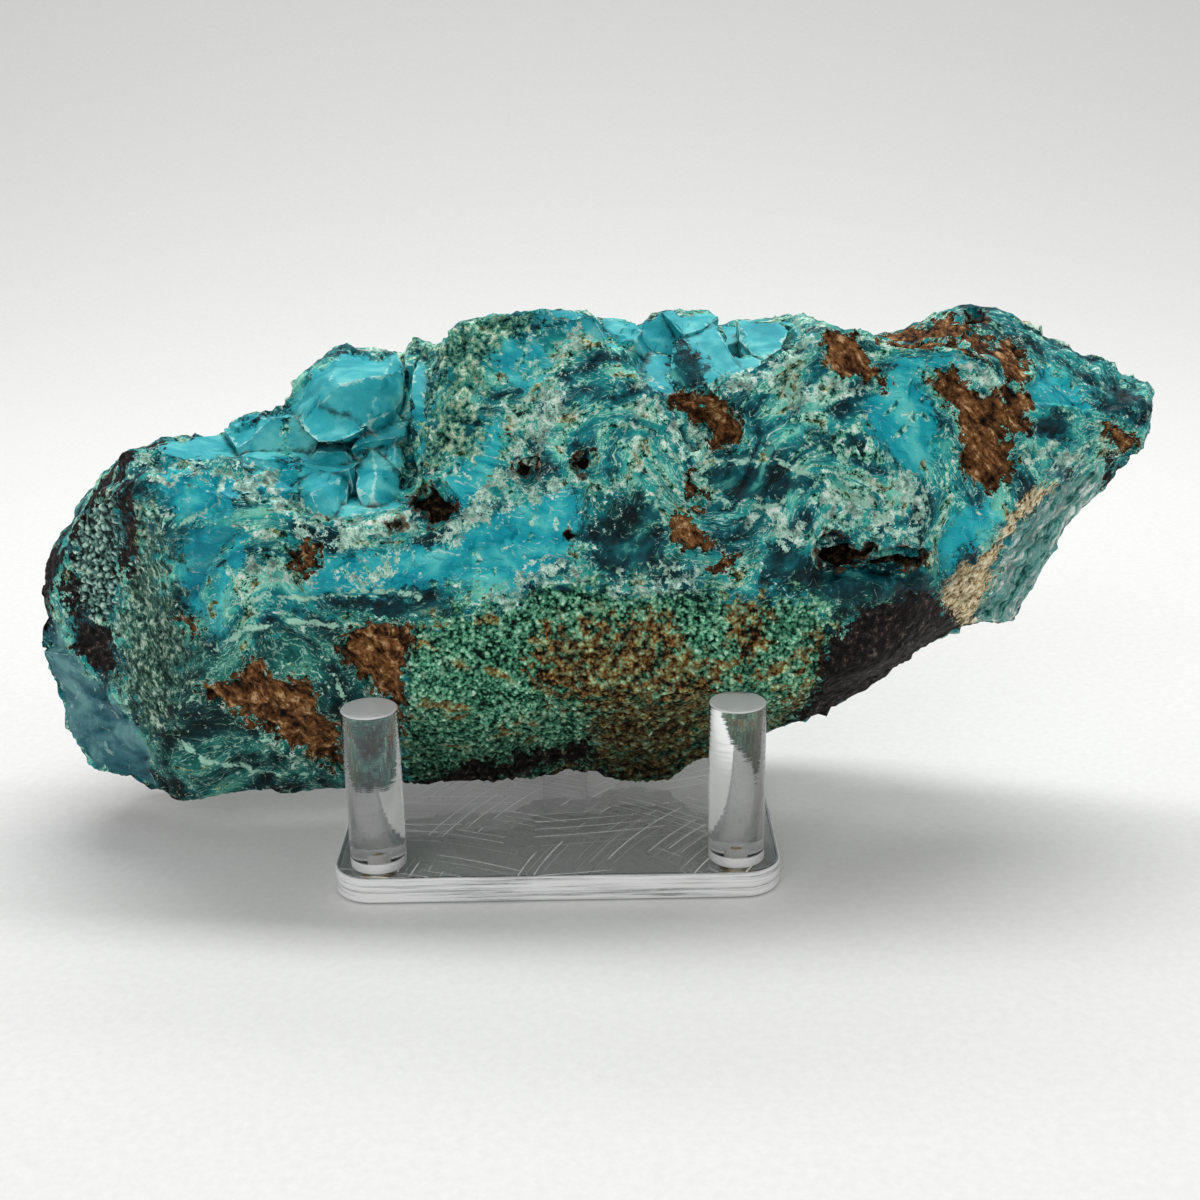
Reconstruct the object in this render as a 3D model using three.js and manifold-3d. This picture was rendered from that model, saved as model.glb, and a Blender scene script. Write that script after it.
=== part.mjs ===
// Raw chrysocolla on a clear three-peg acrylic stand.
// Millimetres, +Z up, +X to the right and +Y away from the viewer.
// The origin is the centre of the stand's underside.
import * as THREE from "three";
import { ConvexGeometry } from "three/addons/geometries/ConvexGeometry.js";
import { LoftGeometry } from "three/addons/geometries/LoftGeometry.js";
import { ConvexHull } from "three/addons/math/ConvexHull.js";
import { ImprovedNoise } from "three/addons/math/ImprovedNoise.js";
import { mergeVertices } from "three/addons/utils/BufferGeometryUtils.js";
import Module from "manifold-3d";

const wasm = await Module();
wasm.setup();

// Driving dimensions
const INCH = 25.4;
const GAP = 0.3; // clearance left between pieces that bear on each other
const PLATE = { side: 4 * INCH, thickness: INCH / 4, corner: 9, edge: 0.8 };
const PEG = { radius: INCH / 4, height: 1.5 * INCH, sideInset: 10.1, endInset: 8, edge: 0.5 };
const SCREW = { headRadius: 4, headHeight: 2.4, shankRadius: 1.5, reach: 3.5 };
const SLOT = { width: 1, depth: 0.9 }; // the driver's slot across a screw's head
const STONE = { left: -126, right: 142, slice: 6 };

// Places worked out from the driving dimensions
const PLATE_TOP = PLATE.thickness;
const PEG_TOP = PLATE_TOP + PEG.height;
const PEG_PLACES = {
  front_left: [PEG.sideInset - PLATE.side / 2, PEG.endInset - PLATE.side / 2],
  front_right: [PLATE.side / 2 - PEG.sideInset, PEG.endInset - PLATE.side / 2],
  back: [0, PLATE.side / 2 - PEG.endInset],
};

// Edges that run the length of the stone, as [x, y, z] from its left tip to its right tip.
// Lower front edge, which bears on the plate right of the middle
const FOOT = [
  [-126, 4, 35], [-120, -1, 20], [-113, -7, 13], [-106, -10, 15], [-99, -14, 10], [-90, -20, 8.5],
  [-75, -17, 9.5], [-55, -12, 9.5], [-20, -11, 9], [-4, -10, 7.5], [3, -6, 9.5], [9, -6, 9], [14, -5, 6.6],
  [24, -5, 6.6], [35, -6, 13], [50, -8, 19], [72, -9, 31], [90, -8, 42], [97, -5, 45], [105, 0, 47],
  [112, 0, 48], [117, 2, 56], [123, 3, 66], [130, 4, 75], [137, 5, 83], [142, 5, 92],
];
// Front just above the pegs' tops, where the sloping lower front begins
const PEG_LINE = [
  [-126, 3, 48], [-119, -2, 38], [-110, -9, 38], [-98, -20, 36], [-88, -27, 38], [-70, -34, 41],
  [-50, -37, 45], [50, -37, 45], [72, -31, 47], [89, -19, 52], [98, -14, 60], [114, -8, 72], [127, -2, 82],
  [137, 2, 89], [142, 3, 95],
];
// Foot of the ledge under the brow, where the crust of small knobs begins
const LEDGE = [
  [-126, 3, 52], [-119, -3, 48], [-110, -9, 49], [-98, -18, 48], [-88, -26, 50], [-70, -35, 55],
  [-50, -36, 62], [-38, -36, 61], [-28, -37, 67], [-12, -36, 68], [0, -37, 72], [14, -36, 70], [26, -37, 71],
  [38, -36, 66], [52, -37, 68], [64, -35, 66], [72, -33, 61], [89, -23, 58], [98, -20, 70], [114, -14, 84],
  [127, -7, 90], [137, -1, 92], [142, 2.5, 96],
];
// Furthest forward part of the front, and at the right the corner above the undercut end
const BROW = [
  [-126, 3, 57], [-119, -3, 57], [-110, -9, 58], [-99, -16, 58], [-88, -25, 59], [-76, -35, 61],
  [-50, -39, 67], [-38, -38, 66], [-28, -41, 71], [-12, -39, 73], [0, -41, 76], [14, -39, 75], [26, -41, 75],
  [38, -38, 71], [52, -41, 72], [64, -38, 71], [72, -37, 67], [89, -27, 65], [98, -25, 79], [114, -20, 92],
  [127, -12, 96], [137, -4, 95], [142, 2, 97],
];
// Upper front edge: low in front of the blocks, then a wall, a notch and the right shoulder
const RIM = [
  [-126, 5, 63], [-119, -1, 70], [-110, -9, 81], [-95, -21, 91], [-83, -28, 94], [-73, -32, 90],
  [-54, -34, 84], [-45, -34, 84], [-29, -34, 88], [-24, -27, 122], [-14, -26, 127], [0, -25, 130],
  [10, -25, 129], [15, -25, 125], [22, -29, 110.5], [31, -29, 110], [42, -29, 114], [52, -28, 119],
  [59, -24, 124], [76, -24, 120], [90, -22, 121], [97, -22, 117], [112, -20, 107], [127, -13, 100],
  [137, -5, 98], [142, 1, 99],
];
// Top of the stone
const CREST = [
  [-126, 12, 66], [-119, 8, 73], [-110, 5, 83], [-99, 0, 93], [-88, 2, 96], [-70, 4, 98], [-60, 6, 100],
  [-48, 8, 104], [-36, 6, 111], [-29, 0, 118], [-15, -4, 121], [0, -4, 123], [14, 2, 120], [22, 6, 118],
  [30, 4, 121], [45, 4, 121], [60, 0, 121], [76, 0, 117], [90, 2, 122], [97, 4, 124.5],
  [107, 4, 121], [120, 3, 114.5], [142, 4, 103],
];
// Top edge of the back
const SHOULDER = [
  [-126, 20, 62], [-119, 28, 68], [-105, 33, 80], [-88, 35, 86], [-60, 36, 90], [-40, 37, 98], [0, 38, 107],
  [40, 38, 109], [78, 34, 107], [97, 30, 111], [120, 20, 105], [142, 9, 100],
];
// Furthest back part of the back
const BACK = [
  [-126, 20, 56], [-119, 29, 55], [-105, 35, 58], [-70, 37, 62], [-40, 38, 63], [-16, 40, 64], [0, 43.7, 65],
  [16, 44, 66], [40, 44, 67], [75, 40, 73], [100, 33, 82], [120, 24, 90], [142, 11, 97],
];
// Lower back edge, which rises away from the foot and touches the back peg
const HEEL = [
  [-126, 15, 47], [-119, 15, 40], [-105, 11, 33], [-88, 10, 30], [-40, 12, 28], [-16, 16, 27], [0, 29.7, 23],
  [16, 20, 26], [30, 16, 28], [60, 14, 38], [80, 14, 48], [100, 16, 59], [120, 15, 72], [142, 9, 94],
];

// Round a section of the stone, each edge with the number of steps to the next one
const SECTION = [
  { edge: FOOT, steps: 4 },
  { edge: HEEL, steps: 4 },
  { edge: BACK, steps: 3 },
  { edge: SHOULDER, steps: 4 },
  { edge: CREST, steps: 6 },
  { edge: RIM, steps: 8 },
  { edge: BROW, steps: 2 },
  { edge: LEDGE, steps: 4 },
  { edge: PEG_LINE, steps: 6 },
];

// Unevenness of the broken surface, as lumps of a wavelength and a height
const LUMPS = [
  { length: 27, height: 2.8 },
  { length: 10, height: 1.6 },
];

// Where the blue stone broke out of the mass, by the corners of the room that was left.
const BROKEN_OUT = [
  [ // nook between the great block and the wall
    [-47, -42, 86.5], [-27.5, -42, 88], [-46, -14, 88], [-27.5, -14, 90], [-46, -7, 112], [-27, -9, 118],
    [-47, -42, 126], [-25, -42, 126],
  ],
  [ // right end of the notch
    [40, -32, 114.5], [55, -31, 120.5], [40, -10, 111], [54, -8, 114], [40, -3, 136], [57, -3, 136],
    [40, -32, 136], [57, -32, 136],
  ],
];

// Large blocks of clean blue stone, each by its corners: those in view, then those sunk in the mass.
const CORNERED = [
  { // the great block at the upper left
    view: [
      [-49.5, 8, 117.5], [-43, 8, 117], [-35.5, 5, 115.5], [-33, -4, 112], [-33, -11, 107], [-36.5, -14, 113],
      [-41.5, -16, 113], [-46, -17, 111.5], [-49, -14, 112.5], [-58.5, 0, 110], [-62, -4, 103],
      [-55.5, -16, 103], [-45, -18.5, 107], [-40.5, -20, 102.5], [-34.5, -14, 105],
    ],
    sunk: [[-60, 10, 98], [-34, 8, 98], [-36, -10, 95], [-55, -10, 95]],
  },
  { // the wedge that hangs below it
    view: [
      [-55.5, -17, 103.5], [-51.5, -16, 107], [-45.5, -17.5, 106], [-40.5, -21.5, 102.5], [-43.5, -23, 101],
      [-46.5, -23.5, 99.5], [-51, -23.5, 100], [-54.5, -20.5, 102],
    ],
    sunk: [[-53, -8, 97], [-42, -10, 97]],
  },
  { // the flat ledge under the wedge
    view: [
      [-63, -17, 95], [-57, -12, 97], [-46.5, -13, 97], [-44.5, -19, 95], [-52, -21, 95.5],
      [-56.5, -22, 93.5], [-59, -25, 92],
    ],
    sunk: [[-60, -12, 82], [-44, -10, 82], [-57, -26, 82]],
  },
  { // lower left block
    view: [
      [-56.5, -21, 93.5], [-52.5, -18, 97], [-45.5, -19, 97], [-44.2, -23, 93.5], [-46, -26.5, 92.5],
      [-50, -30, 91.5], [-52.5, -30.5, 90.5], [-56, -25, 91], [-44.6, -28.5, 87.5], [-55, -29, 87],
      [-50, -33.5, 85], [-46.5, -32.5, 86],
    ],
    sunk: [[-55, -20, 80], [-45, -20, 80]],
  },
  { // lower right block
    view: [
      [-43.4, -19.5, 95], [-40, -17, 97], [-34.5, -19, 94], [-32.5, -22, 90.5], [-33, -30, 86],
      [-36.5, -32.5, 86], [-40.5, -32.5, 85.5], [-42.6, -29, 91], [-38, -27.5, 93], [-38.5, -32, 89.5],
    ],
    sunk: [[-42, -18, 80], [-34, -18, 80]],
  },
  { // leaning shard between that block and the wall
    view: [
      [-39.5, -15, 96.5], [-37.5, -12, 100], [-35, -12.5, 100], [-31, -20, 92], [-32, -22, 91],
      [-34.5, -22, 94],
    ],
    sunk: [[-38, -10, 86], [-30, -12, 86]],
  },
  { // broken pieces under the great block's right corner
    view: [
      [-42, -17.5, 101], [-37.5, -12, 102.5], [-32, -11, 102], [-31.5, -14.5, 99.5], [-34, -16.5, 99],
      [-41, -20, 99], [-44.5, -20.5, 97.5],
    ],
    sunk: [[-43, -10, 90], [-33, -8, 90]],
  },
  { // column against the wall
    view: [
      [-31, -11, 112.5], [-29.5, -4, 115], [-26.5, -3, 114.5], [-24.5, -10, 112], [-24, -19, 107.5],
      [-26, -21, 107], [-31, -18.5, 107], [-30, -21, 100], [-26, -24, 100],
    ],
    sunk: [[-31, -6, 92], [-24, -6, 92], [-29, -24, 88]],
  },
  { // small block on the column's shoulder
    view: [
      [-34, 2, 115], [-33, 6, 117.5], [-30.5, 6, 118.5], [-29, 0, 116], [-31, -5, 113.5], [-33.5, -3, 113.5],
    ],
    sunk: [[-34, 6, 102], [-28, 6, 102], [-31, -5, 102]],
  },
  { // left shell of the notch
    view: [
      [19, -4, 122.5], [22, -4, 124.2], [26, -4, 125], [29, -4, 124.5], [20, -10, 117], [23, -12, 115.2],
      [28, -12, 115.5], [30, -9, 118],
    ],
    sunk: [[18, 6, 106], [30, 6, 106], [20, -8, 104], [29, -8, 104]],
  },
  { // floor of the notch
    view: [
      [19.5, -14, 116.5], [22, -12, 116], [28, -12, 116.2], [27.5, -20, 114], [26, -26, 112.2],
      [23.5, -28.5, 110.7], [20.5, -28, 112], [28.5, -28.5, 110.2],
    ],
    sunk: [[20, -10, 102], [30, -10, 102], [24, -24, 100]],
  },
  { // steep dark face in the middle of the notch
    view: [
      [27.5, -20, 119.5], [29.5, -18, 121], [35.5, -22, 116], [34, -27, 111.8], [28.5, -28.5, 110.2],
      [26.5, -25.5, 113],
    ],
    sunk: [[27, -10, 104], [36, -10, 104], [30, -23, 100]],
  },
  { // tall face right of the middle
    view: [
      [29.5, -17, 120.5], [32, -8, 123.5], [34, -12, 122], [38, -10, 122.5], [39, -17, 120],
      [35.5, -22.5, 116.5], [42, -24.5, 115.2], [37.5, -27.5, 113.2], [34.5, -28, 111.8],
    ],
    sunk: [[31, 0, 106], [42, -4, 106], [36, -23, 100]],
  },
  { // right block of the notch
    view: [
      [42.5, -6, 123], [52.5, -6, 122.5], [54.5, -10, 121], [52, -17.5, 118.5], [47.5, -22.5, 116.5],
      [44.5, -18, 117.5], [42.5, -12, 119],
    ],
    sunk: [[42, 2, 106], [55, 0, 106], [47, -20, 104]],
  },
  { // low piece in front of it
    view: [
      [38, -22, 116], [43.5, -17, 118], [47, -22, 116.5], [46, -26.5, 114.7], [40.5, -27.5, 113.7],
      [38, -28, 113.2],
    ],
    sunk: [[38, -14, 102], [47, -14, 102], [42, -22, 100]],
  },
  { // top of the notch
    view: [
      [25.5, -4, 124.5], [30, -2, 126], [36, -2, 125.5], [39, -6, 123.5], [34.5, -14, 122], [30, -17, 121.5],
    ],
    sunk: [[26, 6, 106], [40, 6, 106], [32, -10, 104]],
  },
];

// Smaller blocks and those at the back, broken out along flat faces.
// Each has a centre, a size, two turns in degrees and a number that stands for its uneven form.
const BLOCKS = [
  { at: [-65, -7, 93.5], size: [17, 20, 14], turn: 20, tip: -14, form: 7 },
  { at: [-78, -12, 91], size: [20, 22, 12], turn: -12, tip: 8, form: 8 },
  { at: [-62, -20, 87], size: [17, 16, 13], turn: 35, tip: 14, form: 9 },
  { at: [-55, -14, 88], size: [26, 18, 14], turn: 8, tip: 4, form: 10 },
  { at: [-76, -24, 89], size: [14, 11, 12], turn: 10, tip: -12, form: 11 },
  { at: [-91, -13, 89], size: [14, 14, 12], turn: 28, tip: 20, form: 12 },
  { at: [16, -11, 117], size: [10, 12, 15], turn: 25, tip: 16, form: 17 },
  { at: [133, -1, 98], size: [18, 22, 13], turn: -22, tip: 14, form: 18 },
  { at: [106, 8, 57], size: [20, 20, 20], turn: 20, tip: -30, form: 19 },
  { at: [-106, 3, 32], size: [24, 24, 36], turn: -38, tip: 14, form: 20 },
  { at: [64, 23, 95.5], size: [30, 26, 26], turn: 28, tip: 12, form: 21 },
  { at: [8, 27, 93.5], size: [28, 24, 26], turn: -18, tip: 16, form: 22 },
  { at: [-84, 26, 68], size: [32, 30, 30], turn: 40, tip: 20, form: 23 },
];
const BLOCK_KNOCK = 0.55; // how far a block's sides lean out of square
const BLOCK_CHIP = { least: 1.1, spread: 0.5 }; // how far out its corners are broken off, sides being at 1

// Hollows weathered into the surface. Each has a centre and half its width, depth and height.
const PITS = [
  { at: [-25.5, -36, 88], half: [4.6, 10, 5.2] },
  { at: [-5.5, -35, 95], half: [2.8, 8, 2.4] },
  { at: [8, -34.5, 96.5], half: [2.8, 8, 2.4] },
  { at: [65, -39, 74], half: [6.5, 12, 4.2] },
  { at: [76, -35, 72], half: [9, 8, 2.6] },
  { at: [94, -22, 120], half: [3, 9, 2.8] },
  { at: [-53, -38, 78], half: [4, 6, 2.8] },
  { at: [41, -39, 91], half: [11, 7, 6] },
  { at: [34.5, -33, 103], half: [6.5, 7, 6] },
  { at: [86, -30, 108], half: [7, 6, 8] },
  { at: [-40, -41, 54], half: [7, 5, 7] },
  { at: [30, 46, 80], half: [12, 9, 8] },
  { at: [-55, 40, 62], half: [9, 8, 6] },
];
const PIT_RAGGED = 0.28; // how uneven a hollow's wall is, as a share of its size
const PIT_LARGE = 5; // half the width above which a hollow's wall has smaller faces

// Colours and finishes
const stoneMaterial = new THREE.MeshStandardMaterial({ color: 0x2f8f93, roughness: 0.55, metalness: 0 });
const acrylicMaterial = new THREE.MeshStandardMaterial({
  color: 0xeef4f4, roughness: 0.06, metalness: 0, transparent: true, opacity: 0.3,
});
const brassMaterial = new THREE.MeshStandardMaterial({ color: 0xb08d45, roughness: 0.3, metalness: 1 });

const noise = new ImprovedNoise();

// A closed solid from a geometry, for joining and cutting.
function solidOf(geometry) {
  const bare = new THREE.BufferGeometry().copy(geometry);
  bare.deleteAttribute("normal");
  bare.deleteAttribute("uv");
  const merged = mergeVertices(bare);
  const vertProperties = merged.attributes.position.array;
  const triVerts = new Uint32Array(merged.index.array);
  return new wasm.Manifold(new wasm.Mesh({ numProp: 3, vertProperties, triVerts }));
}

// A geometry from a solid.
function geometryOf(solid) {
  const mesh = solid.getMesh();
  const geometry = new THREE.BufferGeometry();
  geometry.setAttribute("position", new THREE.BufferAttribute(new Float32Array(mesh.vertProperties), 3));
  geometry.setIndex(new THREE.BufferAttribute(new Uint32Array(mesh.triVerts), 1));
  geometry.computeVertexNormals();
  return geometry;
}

// Three noise values at a point, from fields that lie far apart.
function drift(point, length) {
  const [x, y, z] = point.toArray().map((value) => value / length);
  return new THREE.Vector3(
    noise.noise(x + 11.3, y + 4.7, z + 8.1),
    noise.noise(x + 37.9, y + 21.2, z + 15.6),
    noise.noise(x + 71.4, y + 53.8, z + 29.5),
  );
}

// The point on an edge at a given x.
function edgeAt(edge, x) {
  const next = Math.max(1, edge.findIndex((point) => point[0] >= x));
  const [from, to] = [edge[next - 1], edge[next]];
  const share = THREE.MathUtils.clamp((x - from[0]) / (to[0] - from[0]), 0, 1);
  const y = THREE.MathUtils.lerp(from[1], to[1], share);
  const z = THREE.MathUtils.lerp(from[2], to[2], share);
  return new THREE.Vector3(x, y, z);
}

// One section of the stone at a given x, with its surface roughened.
function sectionAt(x) {
  const corners = SECTION.map(({ edge }) => edgeAt(edge, x));
  const points = SECTION.flatMap(({ steps }, i) => {
    const [from, to] = [corners[i], corners[(i + 1) % corners.length]];
    return Array.from({ length: steps }, (_, step) => from.clone().lerp(to, step / steps));
  });
  for (const point of points) {
    const shift = new THREE.Vector3();
    for (const { length, height } of LUMPS) shift.addScaledVector(drift(point, length), height);
    point.add(shift);
  }
  return points;
}

// The mass of the stone, skinned through its sections.
function stoneMass() {
  const count = Math.round((STONE.right - STONE.left) / STONE.slice);
  const sections = Array.from({ length: count + 1 }, (_, i) =>
    sectionAt(THREE.MathUtils.lerp(STONE.left, STONE.right, i / count)));
  return solidOf(new LoftGeometry(sections, { capStart: true, capEnd: true }));
}

// A block held in by flat break faces: six sides out of square, and two corners in three broken off.
// Each face is kept as a point, its normal over its distance.
// The faces of the hull of those points then give the block's corners.
function block({ at, size, turn, tip, form }) {
  const faces = [];
  for (const axis of [0, 1, 2]) {
    for (const way of [-1, 1]) {
      const side = new THREE.Vector3().setComponent(axis, way);
      const stray = drift(side.clone().multiplyScalar(2.3 + form), 1);
      faces.push(side.addScaledVector(stray, BLOCK_KNOCK));
    }
  }
  for (let corner = 0; corner < 8; corner++) {
    if ((corner + form) % 3 === 0) continue;
    const out = new THREE.Vector3(corner & 1 ? 1 : -1, corner & 2 ? 1 : -1, corner & 4 ? 1 : -1);
    const stray = drift(out.clone().multiplyScalar(3.7 + form), 1);
    const distance = BLOCK_CHIP.least + BLOCK_CHIP.spread * Math.abs(stray.x);
    faces.push(out.addScaledVector(stray, BLOCK_KNOCK).normalize().divideScalar(distance));
  }
  const corners = new ConvexHull().setFromPoints(faces).faces
    .map(({ normal, constant }) => normal.clone().divideScalar(constant));
  const lean = new THREE.Euler(THREE.MathUtils.degToRad(tip), 0, THREE.MathUtils.degToRad(turn), "ZXY");
  const half = new THREE.Vector3(...size).multiplyScalar(0.5);
  const centre = new THREE.Vector3(...at);
  for (const point of corners) point.multiply(half).applyEuler(lean).add(centre);
  return solidOf(new ConvexGeometry(corners));
}

// A flat-faced solid given by its corners.
function cornered(corners) {
  return solidOf(new ConvexGeometry(corners.map((corner) => new THREE.Vector3(...corner))));
}

// A hollow: an uneven egg that reaches into the surface.
function pit({ at, half }) {
  const geometry = new THREE.IcosahedronGeometry(1, half[0] > PIT_LARGE ? 2 : 1);
  const position = geometry.attributes.position;
  const centre = new THREE.Vector3(...at);
  const reach = new THREE.Vector3(...half);
  for (let i = 0; i < position.count; i++) {
    const point = new THREE.Vector3().fromBufferAttribute(position, i);
    const ragged = drift(point.clone().add(centre), 0.8).multiplyScalar(2 * PIT_RAGGED);
    point.add(ragged).multiply(reach).add(centre);
    position.setXYZ(i, point.x, point.y, point.z);
  }
  return solidOf(geometry);
}

// The room that the stand takes up, with clearance all round: the stone bears on its outside.
function standRoom() {
  const wide = PLATE.side + 2 * GAP;
  const sheet = new THREE.BoxGeometry(wide, wide, PLATE_TOP + GAP);
  let room = solidOf(sheet.translate(0, 0, (PLATE_TOP + GAP) / 2));
  for (const [x, y] of Object.values(PEG_PLACES)) {
    const rod = new THREE.CylinderGeometry(PEG.radius + GAP, PEG.radius + GAP, PEG_TOP + GAP, 32);
    rod.rotateX(Math.PI / 2).translate(x, y, (PEG_TOP + GAP) / 2);
    room = room.add(solidOf(rod));
  }
  return room;
}

function stone() {
  let solid = stoneMass();
  for (const room of BROKEN_OUT) solid = solid.subtract(cornered(room));
  for (const { view, sunk } of CORNERED) solid = solid.add(cornered([...view, ...sunk]));
  for (const entry of BLOCKS) solid = solid.add(block(entry));
  for (const entry of PITS) solid = solid.subtract(pit(entry));
  return geometryOf(solid.subtract(standRoom()));
}

// A screw's outline from its flat head up to its tip, grown on all sides by the clearance given.
function screwOutline(clearance) {
  const head = SCREW.headRadius + clearance;
  const shank = SCREW.shankRadius + clearance;
  const tip = PLATE_TOP + SCREW.reach + clearance;
  const points = [[0, 0], [head, 0], [shank, SCREW.headHeight], [shank, tip], [0, tip]];
  return points.map((point) => new THREE.Vector2(...point));
}

function screwForm(clearance) {
  return solidOf(new THREE.LatheGeometry(screwOutline(clearance), 20).rotateX(Math.PI / 2));
}

function screw() {
  const slot = new THREE.BoxGeometry(3 * SCREW.headRadius, SLOT.width, 2 * SLOT.depth);
  return geometryOf(screwForm(0).subtract(solidOf(slot)));
}

// The plate has rounded corners and a small round along its top and bottom edges.
function plate() {
  const half = PLATE.side / 2;
  const bend = half - PLATE.corner;
  const outline = new THREE.Shape();
  outline.absarc(bend, bend, PLATE.corner, 0, Math.PI / 2);
  outline.absarc(-bend, bend, PLATE.corner, Math.PI / 2, Math.PI);
  outline.absarc(-bend, -bend, PLATE.corner, Math.PI, 1.5 * Math.PI);
  outline.absarc(bend, -bend, PLATE.corner, 1.5 * Math.PI, 2 * Math.PI);
  const sheet = new THREE.ExtrudeGeometry(outline, {
    depth: PLATE.thickness - 2 * PLATE.edge, curveSegments: 6,
    bevelThickness: PLATE.edge, bevelSize: PLATE.edge, bevelOffset: -PLATE.edge, bevelSegments: 2,
  });
  let solid = solidOf(sheet.translate(0, 0, PLATE.edge));
  for (const [x, y] of Object.values(PEG_PLACES)) {
    solid = solid.subtract(screwForm(GAP / 2).translate([x, y, 0]));
  }
  return geometryOf(solid);
}

// A peg is a rod with its ends eased and a hole in its foot for the screw.
function peg() {
  const { radius, height, edge } = PEG;
  const half = [[0, 0], [radius - edge, 0], [radius, edge]];
  const other = half.map(([out, up]) => [out, height - up]).reverse();
  const outline = [...half, ...other].map((point) => new THREE.Vector2(...point));
  const rod = new THREE.LatheGeometry(outline, 32).rotateX(Math.PI / 2);
  const hole = screwForm(GAP / 2).translate([0, 0, -PLATE_TOP]);
  return geometryOf(solidOf(rod).subtract(hole));
}

function piece(name, geometry, material) {
  const mesh = new THREE.Mesh(geometry, material);
  mesh.name = name;
  return mesh;
}

const specimen = new THREE.Group();
specimen.add(piece("chrysocolla", stone(), stoneMaterial));

const stand = new THREE.Group();
stand.add(piece("stand_plate", plate(), acrylicMaterial));
for (const [place, [x, y]] of Object.entries(PEG_PLACES)) {
  const rod = piece(`${place}_peg`, peg(), acrylicMaterial);
  rod.position.set(x, y, PLATE_TOP);
  const fixing = piece(`${place}_screw`, screw(), brassMaterial);
  fixing.position.set(x, y, 0);
  stand.add(rod, fixing);
}
specimen.add(stand);

export default specimen;
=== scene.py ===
"""Raw chrysocolla lying in a clear three-peg stand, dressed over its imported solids."""

import math

import bmesh
import bpy
import numpy as np
from mathutils import Matrix, Vector, kdtree, noise


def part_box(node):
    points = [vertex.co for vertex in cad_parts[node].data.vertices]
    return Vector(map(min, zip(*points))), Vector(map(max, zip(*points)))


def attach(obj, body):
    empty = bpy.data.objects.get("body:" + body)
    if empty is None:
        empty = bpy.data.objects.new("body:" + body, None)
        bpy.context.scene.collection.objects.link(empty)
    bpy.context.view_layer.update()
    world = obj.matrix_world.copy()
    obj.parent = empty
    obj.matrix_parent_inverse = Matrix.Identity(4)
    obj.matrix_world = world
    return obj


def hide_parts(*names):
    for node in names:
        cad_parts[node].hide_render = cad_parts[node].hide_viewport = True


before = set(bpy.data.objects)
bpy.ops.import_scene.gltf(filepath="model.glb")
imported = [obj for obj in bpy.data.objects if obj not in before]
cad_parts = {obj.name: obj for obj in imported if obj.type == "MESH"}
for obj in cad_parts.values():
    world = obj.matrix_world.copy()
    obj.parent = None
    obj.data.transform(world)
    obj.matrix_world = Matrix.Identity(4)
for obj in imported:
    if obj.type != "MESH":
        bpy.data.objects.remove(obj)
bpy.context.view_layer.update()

# Stand plate. A square of clear cast acrylic, sawn with round corners and eased along its edges.
# Its sides keep the saw's fine streaks and its top the scratches of the stones set down on it.
# Three countersunk holes take the screws of the pegs from below.
MM = 0.001
PLATE_SIDE = 101.6
PLATE_THICK = 6.35
PLATE_CORNER = 9.0
PLATE_EASE = 0.8
CORNER_STEPS = 16
EASE_STEPS = 6
HOLE_RADIUS = 1.65
SINK_RADIUS = 4.15
SINK_DEPTH = 2.4
HOLE_STEPS = 40
ACRYLIC_BEND = 1.49
ACRYLIC_TINT = (0.80, 0.93, 0.95, 1)
ACRYLIC_DEPTH = 1.5
SCRATCHED_ABOUT = (((-60, -140, 0), 2.6, 0.50), ((85, -75, 0), 3.4, 0.50), ((-20, 160, 0), 3.8, 0.48))
RINGS_PER_STEP = 0.314
SAW_STREAK = (0.035, 0.035, 1.5)


def ring(mesh, outline, height):
    return [mesh.verts.new((x * MM, y * MM, height * MM)) for x, y in outline]


def skirt(mesh, lower, upper):
    for i in range(len(lower)):
        j = (i + 1) % len(lower)
        wall = mesh.faces.new((lower[i], lower[j], upper[j], upper[i]))
        wall.smooth = True


def rim(loop):
    return [v.link_edges[k] for v, after in zip(loop, loop[1:] + loop[:1])
            for k in range(len(v.link_edges)) if v.link_edges[k].other_vert(v) is after]


def cap(mesh, loops):
    edges = [edge for loop in loops for edge in rim(loop)]
    bmesh.ops.triangle_fill(mesh, use_beauty=True, edges=edges)


def circle(radius, steps, centre=(0, 0)):
    turns = [2 * math.pi * i / steps for i in range(steps)]
    return [(centre[0] + radius * math.cos(t), centre[1] + radius * math.sin(t)) for t in turns]


def round_square(half, corner):
    outline = []
    for quarter in range(4):
        for step in range(CORNER_STEPS + 1):
            turn = math.pi / 2 * (quarter + step / CORNER_STEPS)
            side_x = (1, -1, -1, 1)[quarter] * (half - corner)
            side_y = (1, 1, -1, -1)[quarter] * (half - corner)
            outline.append((side_x + corner * math.cos(turn), side_y + corner * math.sin(turn)))
    return outline


def eased(size, steps):
    turns = [math.pi / 2 * i / steps for i in range(steps + 1)]
    return [(size * (1 - math.sin(t)), size * (1 - math.cos(t))) for t in turns]


def made(name, mesh, finish, node_name):
    bmesh.ops.recalc_face_normals(mesh, faces=mesh.faces[:])
    data = bpy.data.meshes.new(name)
    mesh.to_mesh(data)
    mesh.free()
    data.materials.append(finish)
    piece = bpy.data.objects.new(name, data)
    bpy.context.scene.collection.objects.link(piece)
    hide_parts(node_name)
    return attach(piece, "root")


def middle(node_name):
    low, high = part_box(node_name)
    return (low + high) / 2 / MM


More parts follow.
